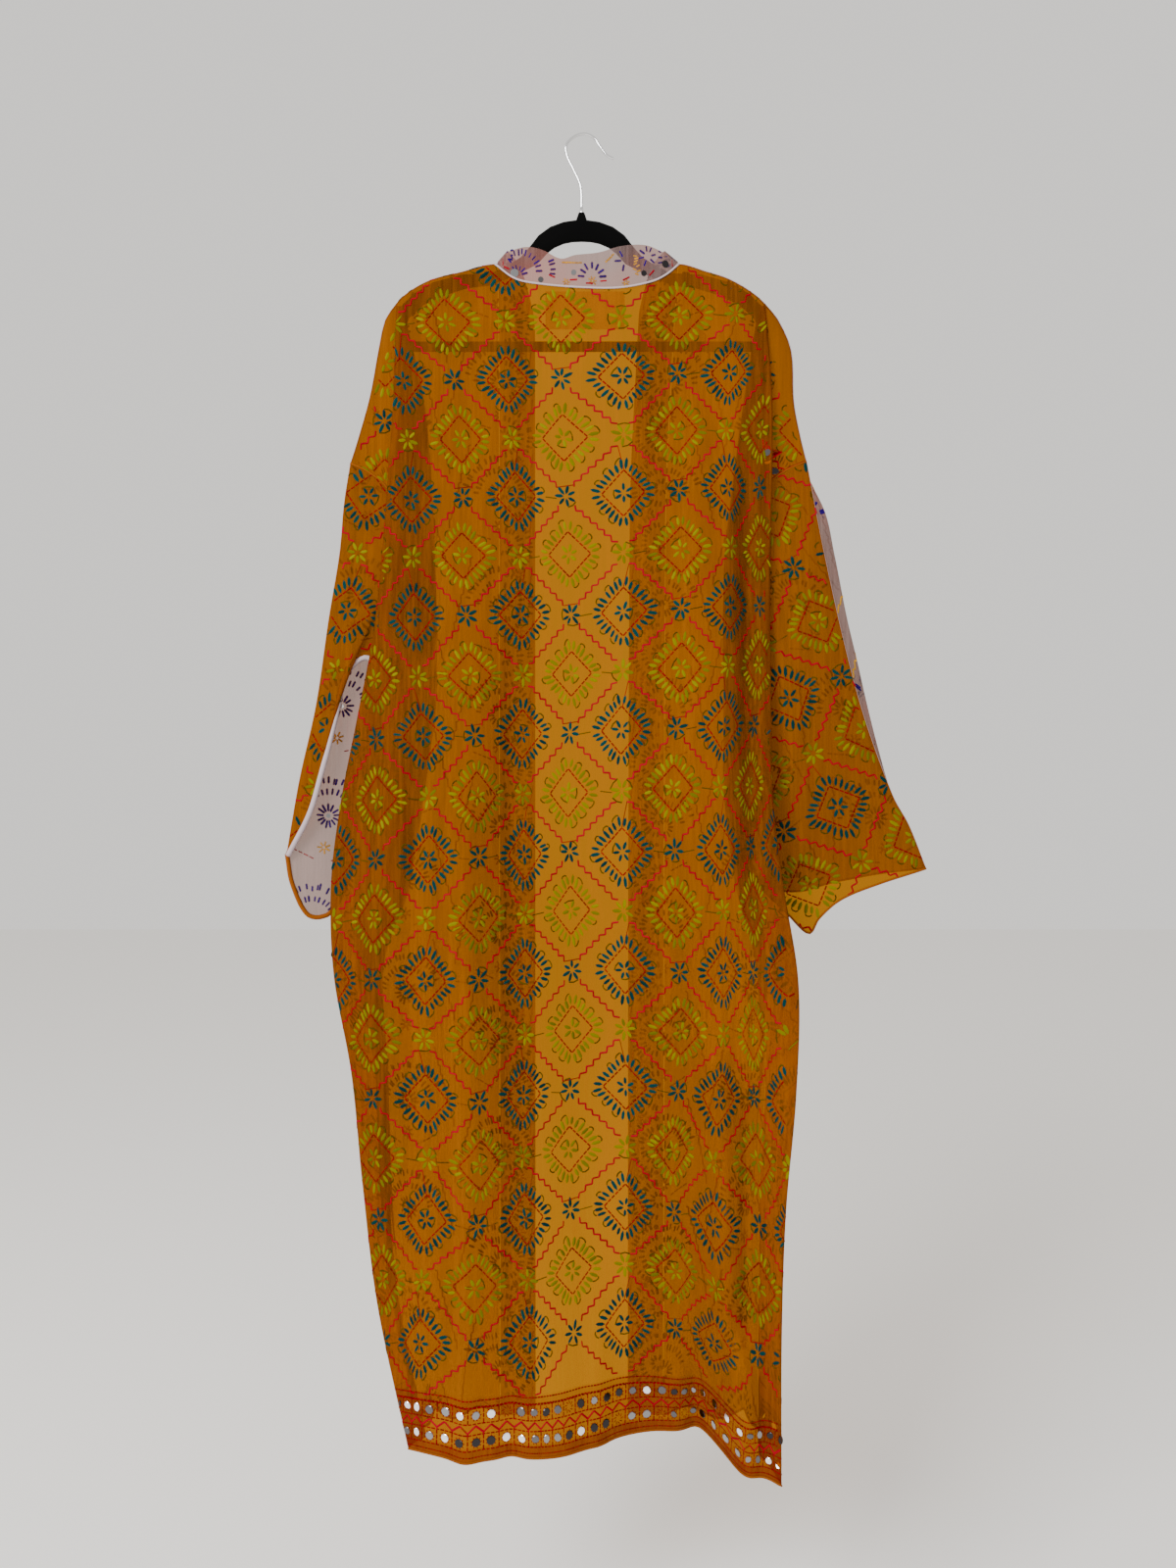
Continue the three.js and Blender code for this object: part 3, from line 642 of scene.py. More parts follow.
# Where the pattern's half repeats lie across the hanging back. Its gathers make them uneven.
REPEATS = table(
    "z n0 n1 n2 n3 n4 n5 n6 n7 n8 n9 n10",
    (-200, -310, -262, -212, -158, -90, -29, 38, 103, 167, 212, 260),
    (-340, -295, -245, -197, -137, -82, -27, 42, 100, 155, 193, 230),
    (-470, -290, -240, -190, -135, -73, -19, 41, 104, 160, 190, 225),
    (-600, -280, -232, -184, -126, -69, -16, 40, 102, 155, 188, 218),
    (-730, -268, -228, -170, -116, -70, -20, 39, 94, 144, 178, 201),
    (-860, -272, -231, -171, -114, -67, -17, 41, 97, 147, 178, 202),
    (-995, -273, -237, -175, -114, -66, -16, 43, 104, 147, 176, 201),
    (-1125, -270, -232, -171, -112, -69, -20, 45, 96, 132, 182, 205),
    (-1255, -262, -222, -179, -117, -62, -15, 43, 99, 135, 181, 213),
    (-1440, -252, -215, -183, -118, -57, -12, 38, 99, 137, 172, 212),
)


def row_smooth(values, reach):
    """Evens a grid of values out along its rows."""
    padded = np.pad(values, ((0, 0), (reach, reach)), "edge")
    total = np.cumsum(np.pad(padded, ((0, 0), (1, 0))), 1)
    width = 2 * reach + 1
    return (total[:, width:] - total[:, :-width]) / width


FLAP_TOP_ROW = 5
# Where a known repeat lies on each flap beside the back's folds: x, z and its half repeats
FLAP_GRAIN = {"left": (-223.6, -320, 1, 1), "right": (240, -329.5, 1, 2)}


def flap_grain(points, u, v, columns, tuck, place):
    """Carries the grain on over a flap, which lies flat, and slides it till a repeat fits."""
    x, z = points[..., 0], points[..., 2]
    valley = tuck[0]
    u[:, columns] = u[:, valley : valley + 1] + x[:, columns] - x[:, valley : valley + 1]
    at_x, at_z, half_n, half_r = place
    gap = np.hypot(x[:, columns] - at_x, z[:, columns] - at_z)
    near = np.unravel_index(gap.argmin(), gap.shape)
    for grid, half, period in ((u, half_n, PERIOD_U), (v, half_r, PERIOD_V)):
        now = grid[:, columns][near]
        want = half * period / 2
        slide = want - now + period * round((now - want) / period)
        grid[:, columns] += slide
        for k, column in enumerate(tuck):
            grid[:, column] += slide * (1 - k / len(tuck))


def back_cut(points):
    """Flat place of each point of the back: across from its left, and down from its top row."""
    x, z = points[..., 0], points[..., 2]
    edges = [at_height(REPEATS, key, z) for key in REPEATS if key != "z"]
    halves = sum(np.clip((x - a) / (b - a), 0, 1) for a, b in zip(edges, edges[1:]))
    end = points.shape[1] - 1
    first = FLAP_STEPS + TUCK_STEPS
    last = end - first
    run = arc_lengths(points)[0]
    left, right = run[:, first : first + 1], run[:, last : last + 1]
    u = halves * PERIOD_U / 2
    u[:, :first] = u[:, first : first + 1] - (left - run[:, :first])
    u[:, last + 1 :] = u[:, last : last + 1] + (run[:, last + 1 :] - right)
    u[:, first:last] = row_smooth(u, 4)[:, first:last]
    v = FIRST_ROW_Z + ROW_TILT * (u / PERIOD_U - 2.5) - z
    tuck = list(range(FLAP_STEPS, first))
    flap_grain(points, u, v, slice(0, FLAP_STEPS), tuck, FLAP_GRAIN["left"])
    mirrored = [end - column for column in tuck]
    flap_grain(points, u, v, slice(end - FLAP_STEPS + 1, end + 1), mirrored, FLAP_GRAIN["right"])
    return u, v


def flap_sheet(points, columns, place):
    """The flap beside a fold of the back, whose grain lies straight from one known repeat."""
    flap = points[FLAP_TOP_ROW:, columns]
    at_x, at_z, half_n, half_r = place
    u = half_n * PERIOD_U / 2 + flap[..., 0] - at_x
    v = half_r * PERIOD_V / 2 - flap[..., 2] + at_z
    return Sheet(flap, (u, v), -1)


def turned_cut(points, place, repeat, angle, mirror):
    """Flat place of each point of a sleeve whose grain is turned, from one known repeat."""
    x = (points[..., 0] - place[0]) * mirror
    down = place[1] - points[..., 2]
    c, s = math.cos(math.radians(angle)), math.sin(math.radians(angle))
    u = repeat[0] * PERIOD_U + (x * c - down * s)
    v = repeat[1] * PERIOD_V + (x * s + down * c)
    return u, v


SEED_STEP = 4  # how many rows and columns lie between the first guesses of a search
SEARCH_PART = 2000
SEARCH_ROUNDS = 12
SEARCH_REACH = 6  # the most rows or columns that one round moves by
NEAR_ENOUGH = 1.2


def solvable(det):
    return np.where(np.abs(det) < 1e-6, 1e-6, det)


class Sheet:
    """A cloth sheet: its points, their flat places, and which way its right side faces."""

    def __init__(self, points, cut, face):
        self.points, (self.u, self.v), self.face = points, cut, face

    def at(self, i, j):
        """Flat place, place and their slopes at fractional rows and columns."""
        rows, columns = self.u.shape
        i0 = np.clip(i.astype(int), 0, rows - 2)
        j0 = np.clip(j.astype(int), 0, columns - 2)
        a, b = i - i0, j - j0
        out = []
        for grid in (self.u, self.v, self.points):
            k = (slice(None),) + (None,) * (grid.ndim - 2)
            p, q = a[k], b[k]
            g00, g01 = grid[i0, j0], grid[i0, j0 + 1]
            g10, g11 = grid[i0 + 1, j0], grid[i0 + 1, j0 + 1]
            value = (g00 * (1 - q) + g01 * q) * (1 - p) + (g10 * (1 - q) + g11 * q) * p
            down = (g10 - g00) * (1 - q) + (g11 - g01) * q
            over = (g01 - g00) * (1 - p) + (g11 - g10) * p
            out.append((value, down, over))
        return out

    def locate(self, u, v):
        """Place, and the directions of one flat millimetre across and down. Also which exist."""
        seeds_u = self.u[::SEED_STEP, ::SEED_STEP]
        cu, cv = seeds_u.ravel(), self.v[::SEED_STEP, ::SEED_STEP].ravel()
        nearest = np.empty(len(u), int)
        for start in range(0, len(u), SEARCH_PART):
            part = slice(start, start + SEARCH_PART)
            gap = (u[part, None] - cu) ** 2 + (v[part, None] - cv) ** 2
            nearest[part] = gap.argmin(1)
        i, j = (k * float(SEED_STEP) for k in np.divmod(nearest, seeds_u.shape[1]))
        rows, columns = self.u.shape
        for _ in range(SEARCH_ROUNDS):
            (su, ui, uj), (sv, vi, vj), _ = self.at(i, j)
            det = solvable(ui * vj - uj * vi)
            du, dv = u - su, v - sv
            move_i = np.clip((du * vj - dv * uj) / det, -SEARCH_REACH, SEARCH_REACH)
            move_j = np.clip((dv * ui - du * vi) / det, -SEARCH_REACH, SEARCH_REACH)
            i, j = np.clip(i + move_i, 0, rows - 1), np.clip(j + move_j, 0, columns - 1)
        (su, ui, uj), (sv, vi, vj), (place, pi, pj) = self.at(i, j)
        det = solvable(ui * vj - uj * vi)[:, None]
        across = (pi * vj[:, None] - pj * vi[:, None]) / det
        down = (pj * ui[:, None] - pi * uj[:, None]) / det
        found = np.hypot(u - su, v - sv) < NEAR_ENOUGH
        return place, across, down, found


class Thread:
    """Stitches of one thread on one sheet: flat middle, angle, length and width of each."""

    def __init__(self):
        self.rows = []

    def sew(self, u, v, angle, length, width):
        u, v, angle, length, width = np.broadcast_arrays(u, v, angle, length, width)
        rows = np.stack([u, v, angle, length, width], -1)
        self.rows.append(rows.reshape(-1, 5).astype(float))

    def line(self, points, width, stitch=None):
        """Straight stitches from point to point, or shorter ones of one length along them."""
        points = np.asarray(points, float)
        for a, b in zip(points, points[1:]):
            run = np.hypot(*(b - a))
            count = 1 if stitch is None else max(1, round(run / stitch))
            t = (np.arange(count) + 0.5) / count
            u, v = mix(a[0], b[0], t), mix(a[1], b[1], t)
            angle = math.atan2(b[1] - a[1], b[0] - a[0])
            cover = 1.04 if stitch is None else 0.82
            self.sew(u, v, angle, run / count * cover, width)


LIFT = 0.25  # how far a stitch's middle stands off the cloth
SHORTEST, LONGEST = 0.4, 30
SQUEEZE = (0.35, 1.15)  # how far a stitch's width follows the gathers under it


def unit(vectors):
    return vectors / np.maximum(np.linalg.norm(vectors, axis=1), 1e-9)[:, None]


def placed(sheet, thread):
    """Middles, turns and sizes in metres of a thread's stitches on a sheet. Both ends lie on it."""
    u, v, angle, length, width = np.concatenate(thread.rows).T
    half_u, half_v = np.cos(angle) * length / 2, np.sin(angle) * length / 2
    start, across, down, found = sheet.locate(u - half_u, v - half_v)
    stop, across_b, down_b, found_b = sheet.locate(u + half_u, v + half_v)
    across, down = (across + across_b) / 2, (down + down_b) / 2
    run = stop - start
    length = np.linalg.norm(run, axis=1)
    x_axis = unit(run)
    out = unit(np.cross(across, down))
    out *= sheet.face * np.sign(np.median(out[found & found_b, 1]))
    y_axis = unit(np.cross(out, x_axis))
    z_axis = np.cross(x_axis, y_axis)
    beside = down * np.cos(angle)[:, None] - across * np.sin(angle)[:, None]
    spread = np.clip(np.abs((beside * y_axis).sum(1)), *SQUEEZE)
    turn = np.stack(
        [
            np.arctan2(y_axis[:, 2], z_axis[:, 2]),
            -np.arcsin(np.clip(x_axis[:, 2], -1, 1)),
            np.arctan2(x_axis[:, 1], x_axis[:, 0]),
        ],
        -1,
    )
    size = np.stack([length, width * spread, np.minimum(width * 0.45, 1.0)], -1)
    good = found & found_b & (length > SHORTEST) & (length < LONGEST)
    return ((start + stop) / 2 + z_axis * LIFT)[good] * MM, turn[good], size[good] * MM


# Stitches
def ring_shape(name, rings, sides=4):
    """A closed stitch of unit length and width: rings give x, half width and half height."""
    mesh = bpy.data.meshes.new(name)
    verts, faces = [(-0.5, 0, 0)], []
    for x, half_width, half_height in rings:
        for k in range(sides):
            angle = 2 * math.pi * k / sides
            verts.append((x, half_width * math.cos(angle), half_height * math.sin(angle)))
    verts.append((0.5, 0, 0))
    for k in range(sides):
        n = (k + 1) % sides
        faces.append((0, 1 + n, 1 + k))
        for r in range(len(rings) - 1):
            a, b = 1 + r * sides, 1 + (r + 1) * sides
            faces.append((a + k, a + n, b + n, b + k))
        end = 1 + (len(rings) - 1) * sides
        faces.append((end + k, end + n, len(verts) - 1))
    mesh.from_pydata(verts, [], faces)
    face_outwards(mesh)
    return bpy.data.objects.new(name, mesh)


def disc_shape(name, sides=14):
    """A round mirror of unit size with a bevelled rim."""
    mesh = bpy.data.meshes.new(name)
    verts, faces = [], []
    for radius, height in ((0.5, -0.5), (0.5, 0.1), (0.42, 0.5)):
        for k in range(sides):
            angle = 2 * math.pi * k / sides
            verts.append((radius * math.cos(angle), radius * math.sin(angle), height))
    for k in range(sides):
        n = (k + 1) % sides
        for r in (0, sides):
            faces.append((r + k, r + n, r + sides + n, r + sides + k))
    faces.append(tuple(range(2 * sides, 3 * sides)))
    faces.append(tuple(reversed(range(sides))))
    mesh.from_pydata(verts, [], faces)
    return bpy.data.objects.new(name, mesh)


def sewing_tree():
    """Geometry Nodes that set one stitch on each point, by its turn and its size."""
    tree = bpy.data.node_groups.new("sewing", "GeometryNodeTree")
    for name, kind in (
        ("Places", "Geometry"), ("Stitch", "Object"), ("Thread", "Material"),
        ("Unevenness", "Float"), ("Seed", "Int"),
    ):
        tree.interface.new_socket(name=name, in_out="INPUT", socket_type="NodeSocket" + kind)
    tree.interface.new_socket(name="Sewn", in_out="OUTPUT", socket_type="NodeSocketGeometry")
    add = node_maker(tree)
    given = add("NodeGroupInput").outputs

    def stored(name):
        found = add("GeometryNodeInputNamedAttribute", {"Name": name}, data_type="FLOAT_VECTOR")
        return found.outputs["Attribute"]

    def limit(operation):
        uneven = {0: 1, 1: given["Unevenness"]}
        return add("ShaderNodeMath", uneven, operation=operation).outputs[0]

    points = add("GeometryNodeMeshToPoints", {"Mesh": given["Places"]}).outputs["Points"]
    stitch = add("GeometryNodeObjectInfo", {"Object": given["Stitch"]}).outputs["Geometry"]
    turn = add("FunctionNodeEulerToRotation", {"Euler": stored("turn")}).outputs["Rotation"]
    limits = {2: limit("SUBTRACT"), 3: limit("ADD"), "Seed": given["Seed"]}
    vary = add("FunctionNodeRandomValue", limits, data_type="FLOAT").outputs[1]
    grow = add("ShaderNodeVectorMath", {0: stored("size"), "Scale": vary}, operation="SCALE")
    spots = {"Points": points, "Instance": stitch, "Rotation": turn, "Scale": grow.outputs["Vector"]}
    set_on = add("GeometryNodeInstanceOnPoints", spots).outputs["Instances"]
    real = add("GeometryNodeRealizeInstances", {"Geometry": set_on}).outputs["Geometry"]
    colour = add("GeometryNodeSetMaterial", {"Geometry": real, "Material": given["Thread"]})
    add("NodeGroupOutput", {"Sewn": colour.outputs["Geometry"]})
    return tree


SEWING = sewing_tree()
PETAL = ring_shape("petal", ((-0.2, 0.5, 0.5), (0.26, 0.46, 0.45)))
SATIN = ring_shape("satin", ((-0.34, 0.45, 0.5), (0.34, 0.45, 0.5)))
RUN = ring_shape("run", ((-0.46, 0.5, 0.5), (0.46, 0.5, 0.5)))
DISC = disc_shape("disc")


def sewn(name, stitch, material, places, seed, unevenness=0.1):
    """One plain mesh of all stitches at these places."""
    spots = np.concatenate([p[0] for p in places])
    mesh = bpy.data.meshes.new(name + "_places")
    mesh.from_pydata(spots.tolist(), [], [])
    for key, k in (("turn", 1), ("size", 2)):
        values = np.concatenate([p[k] for p in places]).astype(np.float32)
        mesh.attributes.new(key, "FLOAT_VECTOR", "POINT").data.foreach_set("vector", values.ravel())
    tones = np.random.default_rng(seed).random(len(spots)).astype(np.float32)
    mesh.attributes.new("tone", "FLOAT", "POINT").data.foreach_set("value", tones)
    source = shown(name + "_places", mesh)
    nodes = source.modifiers.new("sewing", "NODES")
    nodes.node_group = SEWING
    given = {"Stitch": stitch, "Thread": material, "Unevenness": unevenness, "Seed": seed}
    for socket in SEWING.interface.items_tree:
        if socket.in_out == "INPUT" and socket.name in given:
            nodes[socket.identifier] = given[socket.name]
    graph = bpy.context.evaluated_depsgraph_get()
    graph.update()
    plain = bpy.data.meshes.new_from_object(source.evaluated_get(graph))
    plain.name = name
    for key in ("turn", "size"):
        if key in plain.attributes:
            plain.attributes.remove(plain.attributes[key])
    bpy.data.objects.remove(source)
    return shown(name, plain)


# Motifs on the orange cloth
rng = np.random.default_rng(11)


def jitter(size, count=None):
    return rng.uniform(-size, size, count)


DIAMOND = (25, 26)  # half of its width and height
BARS_A_SIDE = 7
BAR = (11.6, 3.6)  # length and width of one satin bar
LOOP_WIDTH = 1.4
LOOPED = 0.55  # share of a flower's petal pairs that a loop joins
QUARTERS = [(1, -1), (-1, -1), (-1, 1), (1, 1)]


def round_about(centre, reach, angle):
    """Flat places at a reach and an angle from a centre."""
    return centre[0] + reach * np.cos(angle), centre[1] + reach * np.sin(angle)


def medallion(bars, outline, loops, centre):
    """A diamond outline with fanned satin bars round it and a small flower inside."""
    cu, cv = centre[0] + jitter(1.2), centre[1] + jitter(1.2)
    half_u, half_v = DIAMOND[0] * (1 + jitter(0.05)), DIAMOND[1] * (1 + jitter(0.05))
    corners = [(cu + half_u, cv), (cu, cv - half_v), (cu - half_u, cv), (cu, cv + half_v)]
    outline.line(corners + corners[:1], 1.5, stitch=6)
    for a, b, (su, sv) in zip(corners, corners[1:] + corners[:1], QUARTERS):
        t = (np.arange(BARS_A_SIDE) + 0.5) / BARS_A_SIDE
        steep = (t if su * sv < 0 else 1 - t) * 0.86 + 0.07
        angle = np.arctan2(sv * np.sin(steep * np.pi / 2), su * np.cos(steep * np.pi / 2))
        angle = angle + jitter(0.1, BARS_A_SIDE)
        length = BAR[0] * (1 + jitter(0.12, BARS_A_SIDE))
        reach = 1.7 + length / 2 + 1.2 * np.abs(2 * t - 1) ** 2
        u = mix(a[0], b[0], t) + reach * np.cos(angle)
        v = mix(a[1], b[1], t) + reach * np.sin(angle)
        bars.sew(u, v, angle, length, BAR[1])
        ends = np.stack([u + length / 2 * np.cos(angle), v + length / 2 * np.sin(angle)], -1)
        for k in range(0, BARS_A_SIDE - 1, 2):
            if rng.random() < 0.85:
                out = np.array([np.cos(angle[k : k + 2].mean()), np.sin(angle[k : k + 2].mean())])
                p, q = ends[k], ends[k + 1]
                loops.line([p, mix(p, q, 0.25) + 1.8 * out, mix(p, q, 0.75) + 1.8 * out, q], LOOP_WIDTH)
    flower(bars, loops, (cu, cv), 6, 11.5, 3.5)


def flower(bars, loops, centre, petals, radius, width, start=2.4):
    """Petals round a point, some of them joined by a loop at their ends."""
    angle = rng.random() * 2 + np.arange(petals) * 2 * np.pi / petals + jitter(0.13, petals)
    length = (radius - start) * (1 + jitter(0.12, petals))
    bars.sew(*round_about(centre, start + length / 2, angle), angle, length, width)
    ends = np.stack(round_about(centre, start + length, angle), -1)
    for k in range(0, petals - 1, 2):
        if rng.random() < LOOPED:
            p, q = ends[k : k + 2]
            bow = mix(np.array(centre), mix(p, q, 0.5), 1.12)
            loops.line([p, bow, q], LOOP_WIDTH)


def stair(thread, a, b, steps, width):
    """A stepped line from a to b, like the edge of a flight of stairs."""
    a, b = np.asarray(a, float), np.asarray(b, float)
    run = b - a
    points = [a]
    for k in range(steps):
        start = a + run * k / steps
        points.append(start + np.array([run[0] / steps * 0.92, run[1] / steps * 0.12]) + jitter(0.4, 2))
        points.append(a + run * (k + 1) / steps + jitter(0.3, 2))
    thread.line(points, width)


def repeats_over(values, period):
    """First and last repeat that reach over a sheet, with one to spare at each end."""
    return math.floor(values.min() / period) - 1, math.ceil(values.max() / period) + 1


STEPS_TO, STEPS_FROM = (0.84, 0.155), (0.1, 0.81)  # shares of half a repeat, across and down
STEMS, BRACES, TIES, SIDE_LOOPS = 0.7, 0.75, 0.5, 0.7  # how many of the medallions have them


def beside(centre, across, down):
    """A point at these shares of half a repeat from a centre."""
    return centre[0] + across * 0.5 * PERIOD_U, centre[1] + down * 0.5 * PERIOD_V


def lattice(sheet, lowest, teal, olive, red, outline, loops, fine):
    """Medallions, stars and stepped lines over a whole sheet, wherever its cloth reaches."""
    n_low, n_high = repeats_over(sheet.u, PERIOD_U)
    r_low, r_high = repeats_over(sheet.v, PERIOD_V)
    for half_r in range(2 * r_low, 2 * r_high + 1):
        teal_row = half_r % 2 == 1
        thread = teal if teal_row else olive
        for half_n in range(2 * n_low, 2 * n_high + 1):
            centre = (half_n * PERIOD_U / 2, half_r * PERIOD_V / 2)
            if centre[1] > lowest:
                continue
            is_star = (half_n % 2 == 1) == teal_row
            if is_star:
                flower(thread, loops, centre, 7, 13, 3.6)
                continue
            medallion(thread, outline, loops, centre)
            tip = (centre[0], centre[1] - DIAMOND[1])
            for su, sv in QUARTERS if teal_row else []:
                top = beside(centre, su * STEPS_FROM[0], sv * STEPS_FROM[1])
                side = beside(centre, su * STEPS_TO[0], sv * STEPS_TO[1])
                stair(red, top, side, 6, 1.9)
            if teal_row and rng.random() < STEMS:
                stem = beside(centre, rng.choice([-1, 1]) * STEPS_FROM[0], -STEPS_FROM[1])
                fine.line([stem, tip], 0.8)
            if not teal_row:
                if rng.random() < BRACES:
                    left, right = beside(centre, -0.16, 0.845), beside(centre, 0.16, 0.845)
                    fine.line([left, (right[0], right[1] - 2)], 0.9)
                if rng.random() < TIES:
                    fine.line([(centre[0] - 3, beside(centre, 0, -0.84)[1]), tip], 0.7)
            if rng.random() < SIDE_LOOPS:
                side = rng.choice([-1, 1])
                ends = [(centre[0] + side * 38, centre[1]), (centre[0] + side * 53, centre[1] + 2)]
                loops.line(ends, 1.0)


# Motifs on the lilac cloth, and the mirror work
SCALLOP_U, SCALLOP_V = 118, 124


def arch(bars, centre, radius, start, stop, count, length=8, width=2.9):
    """Short bars set side by side round an arc, all pointing at its centre. Angles in degrees."""
    angle = np.radians(np.linspace(start, stop, count)) + jitter(0.05, count)
    u, v = round_about(centre, radius * (1 + jitter(0.04, count)), angle)
    bars.sew(u, v, angle, length * (1 + jitter(0.12, count)), width)


def rosette(bars, centre, petals=13, radius=14, start=4.5, width=2.9):
    angle = np.arange(petals) * 2 * np.pi / petals + jitter(0.1, petals)
    length = (radius - start) * (1 + jitter(0.1, petals))
    bars.sew(*round_about(centre, start + length / 2, angle), angle, length, width)


def scallops(sheet, navy, ochre, red, beads):
    """Rows of arches over rosettes, with stepped ochre lines between them."""
    n_low, n_high = repeats_over(sheet.u, SCALLOP_U)
    r_low, r_high = repeats_over(sheet.v, SCALLOP_V)
    for n in range(n_low, n_high + 1):
        for r in range(r_low, r_high + 1):
            cu = n * SCALLOP_U + jitter(1.5)
            cv = (r + 0.5 * (n % 2)) * SCALLOP_V + jitter(1.5)
            rosette(navy, (cu, cv))
            beads.sew(cu, cv, 0, 4.5, 4.5)
            arch(navy, (cu, cv), 27, 188, 352, 15)
            arch(navy, (cu, cv), 40, 198, 342, 19)
            rosette(ochre, (cu, cv + 36), 7, 7.5, 1.5, 2)
            for side in (-1, 1):
                bottom = (cu + side * SCALLOP_U * 0.5, cv + SCALLOP_V * 0.3)
                top = (cu + side * SCALLOP_U * 0.28, cv - SCALLOP_V * 0.46)
                stair(ochre, top, bottom, 9, 1.7)
                red.line([(cu + side * 9, cv + 50), (cu + side * 34, cv + 41)], 1.6, stitch=6)


RIM_STITCHES, RIM_RADIUS = 9, 4.6


def mirror_rim(rim, spot):
    """Short stitches round a mirror, which hold it."""
    angle = np.arange(RIM_STITCHES) * 2 * np.pi / RIM_STITCHES
    rim.sew(*round_about(spot, RIM_RADIUS, angle), angle + 0.5, 3.2, 0.9)


BORDER = {
    "cell": 17,
    "top_lines": (62, 55.5),
    "rows": (46.5, 19.5),
    "row_edges": (54.5, 38.5, 27.5, 11.5),
    "chevrons": (36.5, 29.5),
    "hem_line": 5,
    "mirror": 9,
}


def mirror_border(sheet, red, fine, mirrors, rim):
    """The mirror-work border along the hem. v is the height above the hem."""
    cell = BORDER["cell"]
    low, high = sheet.u.min(), sheet.u.max()
    count = int((high - low) / cell)
    for height in BORDER["top_lines"]:
        fine.line([(low, height), (high, height)], 1.5, stitch=4.2)
    for height in BORDER["row_edges"]:
        fine.line([(low, height), (high, height)], 1.4, stitch=5)
    fine.line([(low, BORDER["hem_line"]), (high, BORDER["hem_line"])], 1.2, stitch=3.2)
    rows = BORDER["rows"]
    tall, short = BORDER["chevrons"]
    for k in range(count):
        u = low + k * cell
        for row in rows:
            fine.line([(u, row + 8), (u, row - 8)], 1.4, stitch=5)
            spot = (u + cell / 2 + jitter(0.7), row + jitter(0.6))
            if rng.random() < 0.93:
                mirrors.sew(*spot, rng.random() * 3, BORDER["mirror"], BORDER["mirror"])
            mirror_rim(rim, spot)
        red.line([(u, short), (u + cell / 2, tall), (u + cell, short)], 2.1)
        red.line([(u, short), (u, short - 3)], 1.6)


# Heights over the seam, and the share of the seam that shows, in even steps
ARMHOLE_BORDER = {
    "lines": (2, 13, 25, 29), "mirrors": 8, "zigzag": (15, 23), "reach": (0.02, 0.6), "steps": 18,
}


def armhole_border(sheet, side, flap, red, fine, mirrors, rim):
    """The same mirror work, narrower, on the back just above the armhole seam."""
    x, z = sheet.points[:, flap, 0], sheet.points[:, flap, 2]

    def flat(share, above):
        seam_x, seam_z = along(ARMHOLE[side], share)
        gap = np.hypot(x - seam_x + INWARD[side] * 0.25 * above, z - seam_z - above)
        near = np.unravel_index(gap.argmin(), gap.shape)
        return sheet.u[:, flap][near], sheet.v[:, flap][near]

    shares = np.linspace(*ARMHOLE_BORDER["reach"], ARMHOLE_BORDER["steps"])
    for height in ARMHOLE_BORDER["lines"]:
        fine.line([flat(t, height) for t in shares], 1.5)
    low, high = ARMHOLE_BORDER["zigzag"]
    red.line([flat(t, high if k % 2 else low) for k, t in enumerate(shares)], 1.9)
    for t in shares[1::4]:
        spot = flat(t, ARMHOLE_BORDER["mirrors"])
        mirrors.sew(*spot, t * 9, BORDER["mirror"], BORDER["mirror"])
        mirror_rim(rim, spot)


def tube(name, points, radius, sides=8):
    """A round cord through points in millimetres."""
    points = np.asarray(points, float)
    ahead = np.gradient(points, axis=0)
    ahead /= np.linalg.norm(ahead, axis=1)[:, None]
    side = np.cross(ahead, [0.0, 1.0, 0.05])
    side /= np.linalg.norm(side, axis=1)[:, None]
    up = np.cross(side, ahead)
    radius = np.broadcast_to(radius, len(points))
    verts, faces = [], []
    for p, a, b, r in zip(points, side, up, radius):
        for k in range(sides):
            angle = 2 * math.pi * k / sides
            verts.append((p + r * (math.cos(angle) * a + math.sin(angle) * b)) * MM)
    for i in range(len(points) - 1):
        for k in range(sides):
            n = (k + 1) % sides
            a, b = i * sides, (i + 1) * sides
            faces.append((a + k, a + n, b + n, b + k))
    faces.append(tuple(reversed(range(sides))))
    faces.append(tuple(range((len(points) - 1) * sides, len(points) * sides)))
    mesh = bpy.data.meshes.new(name)
    mesh.from_pydata([tuple(v) for v in verts], [], faces)
    face_outwards(mesh)
    smooth_faces(mesh)
    return shown(name, mesh)


def joined(name, pieces):
    """One piece from several meshes."""
    bm = bmesh.new()
    for piece in pieces:
        bm.from_mesh(piece.data)
    mesh = bpy.data.meshes.new(name)
    bm.to_mesh(mesh)
    bm.free()
    smooth_faces(mesh)
    for piece in pieces:
        bpy.data.objects.remove(piece)
    return shown(name, mesh)


def spaced(points, step):
    """The same line with points at even steps."""
    points = np.asarray(points, float)
    run = run_along(points)
    at = np.linspace(0, run[-1], max(2, int(run[-1] / step)))
    return np.stack([np.interp(at, run, points[:, k]) for k in range(3)], -1)


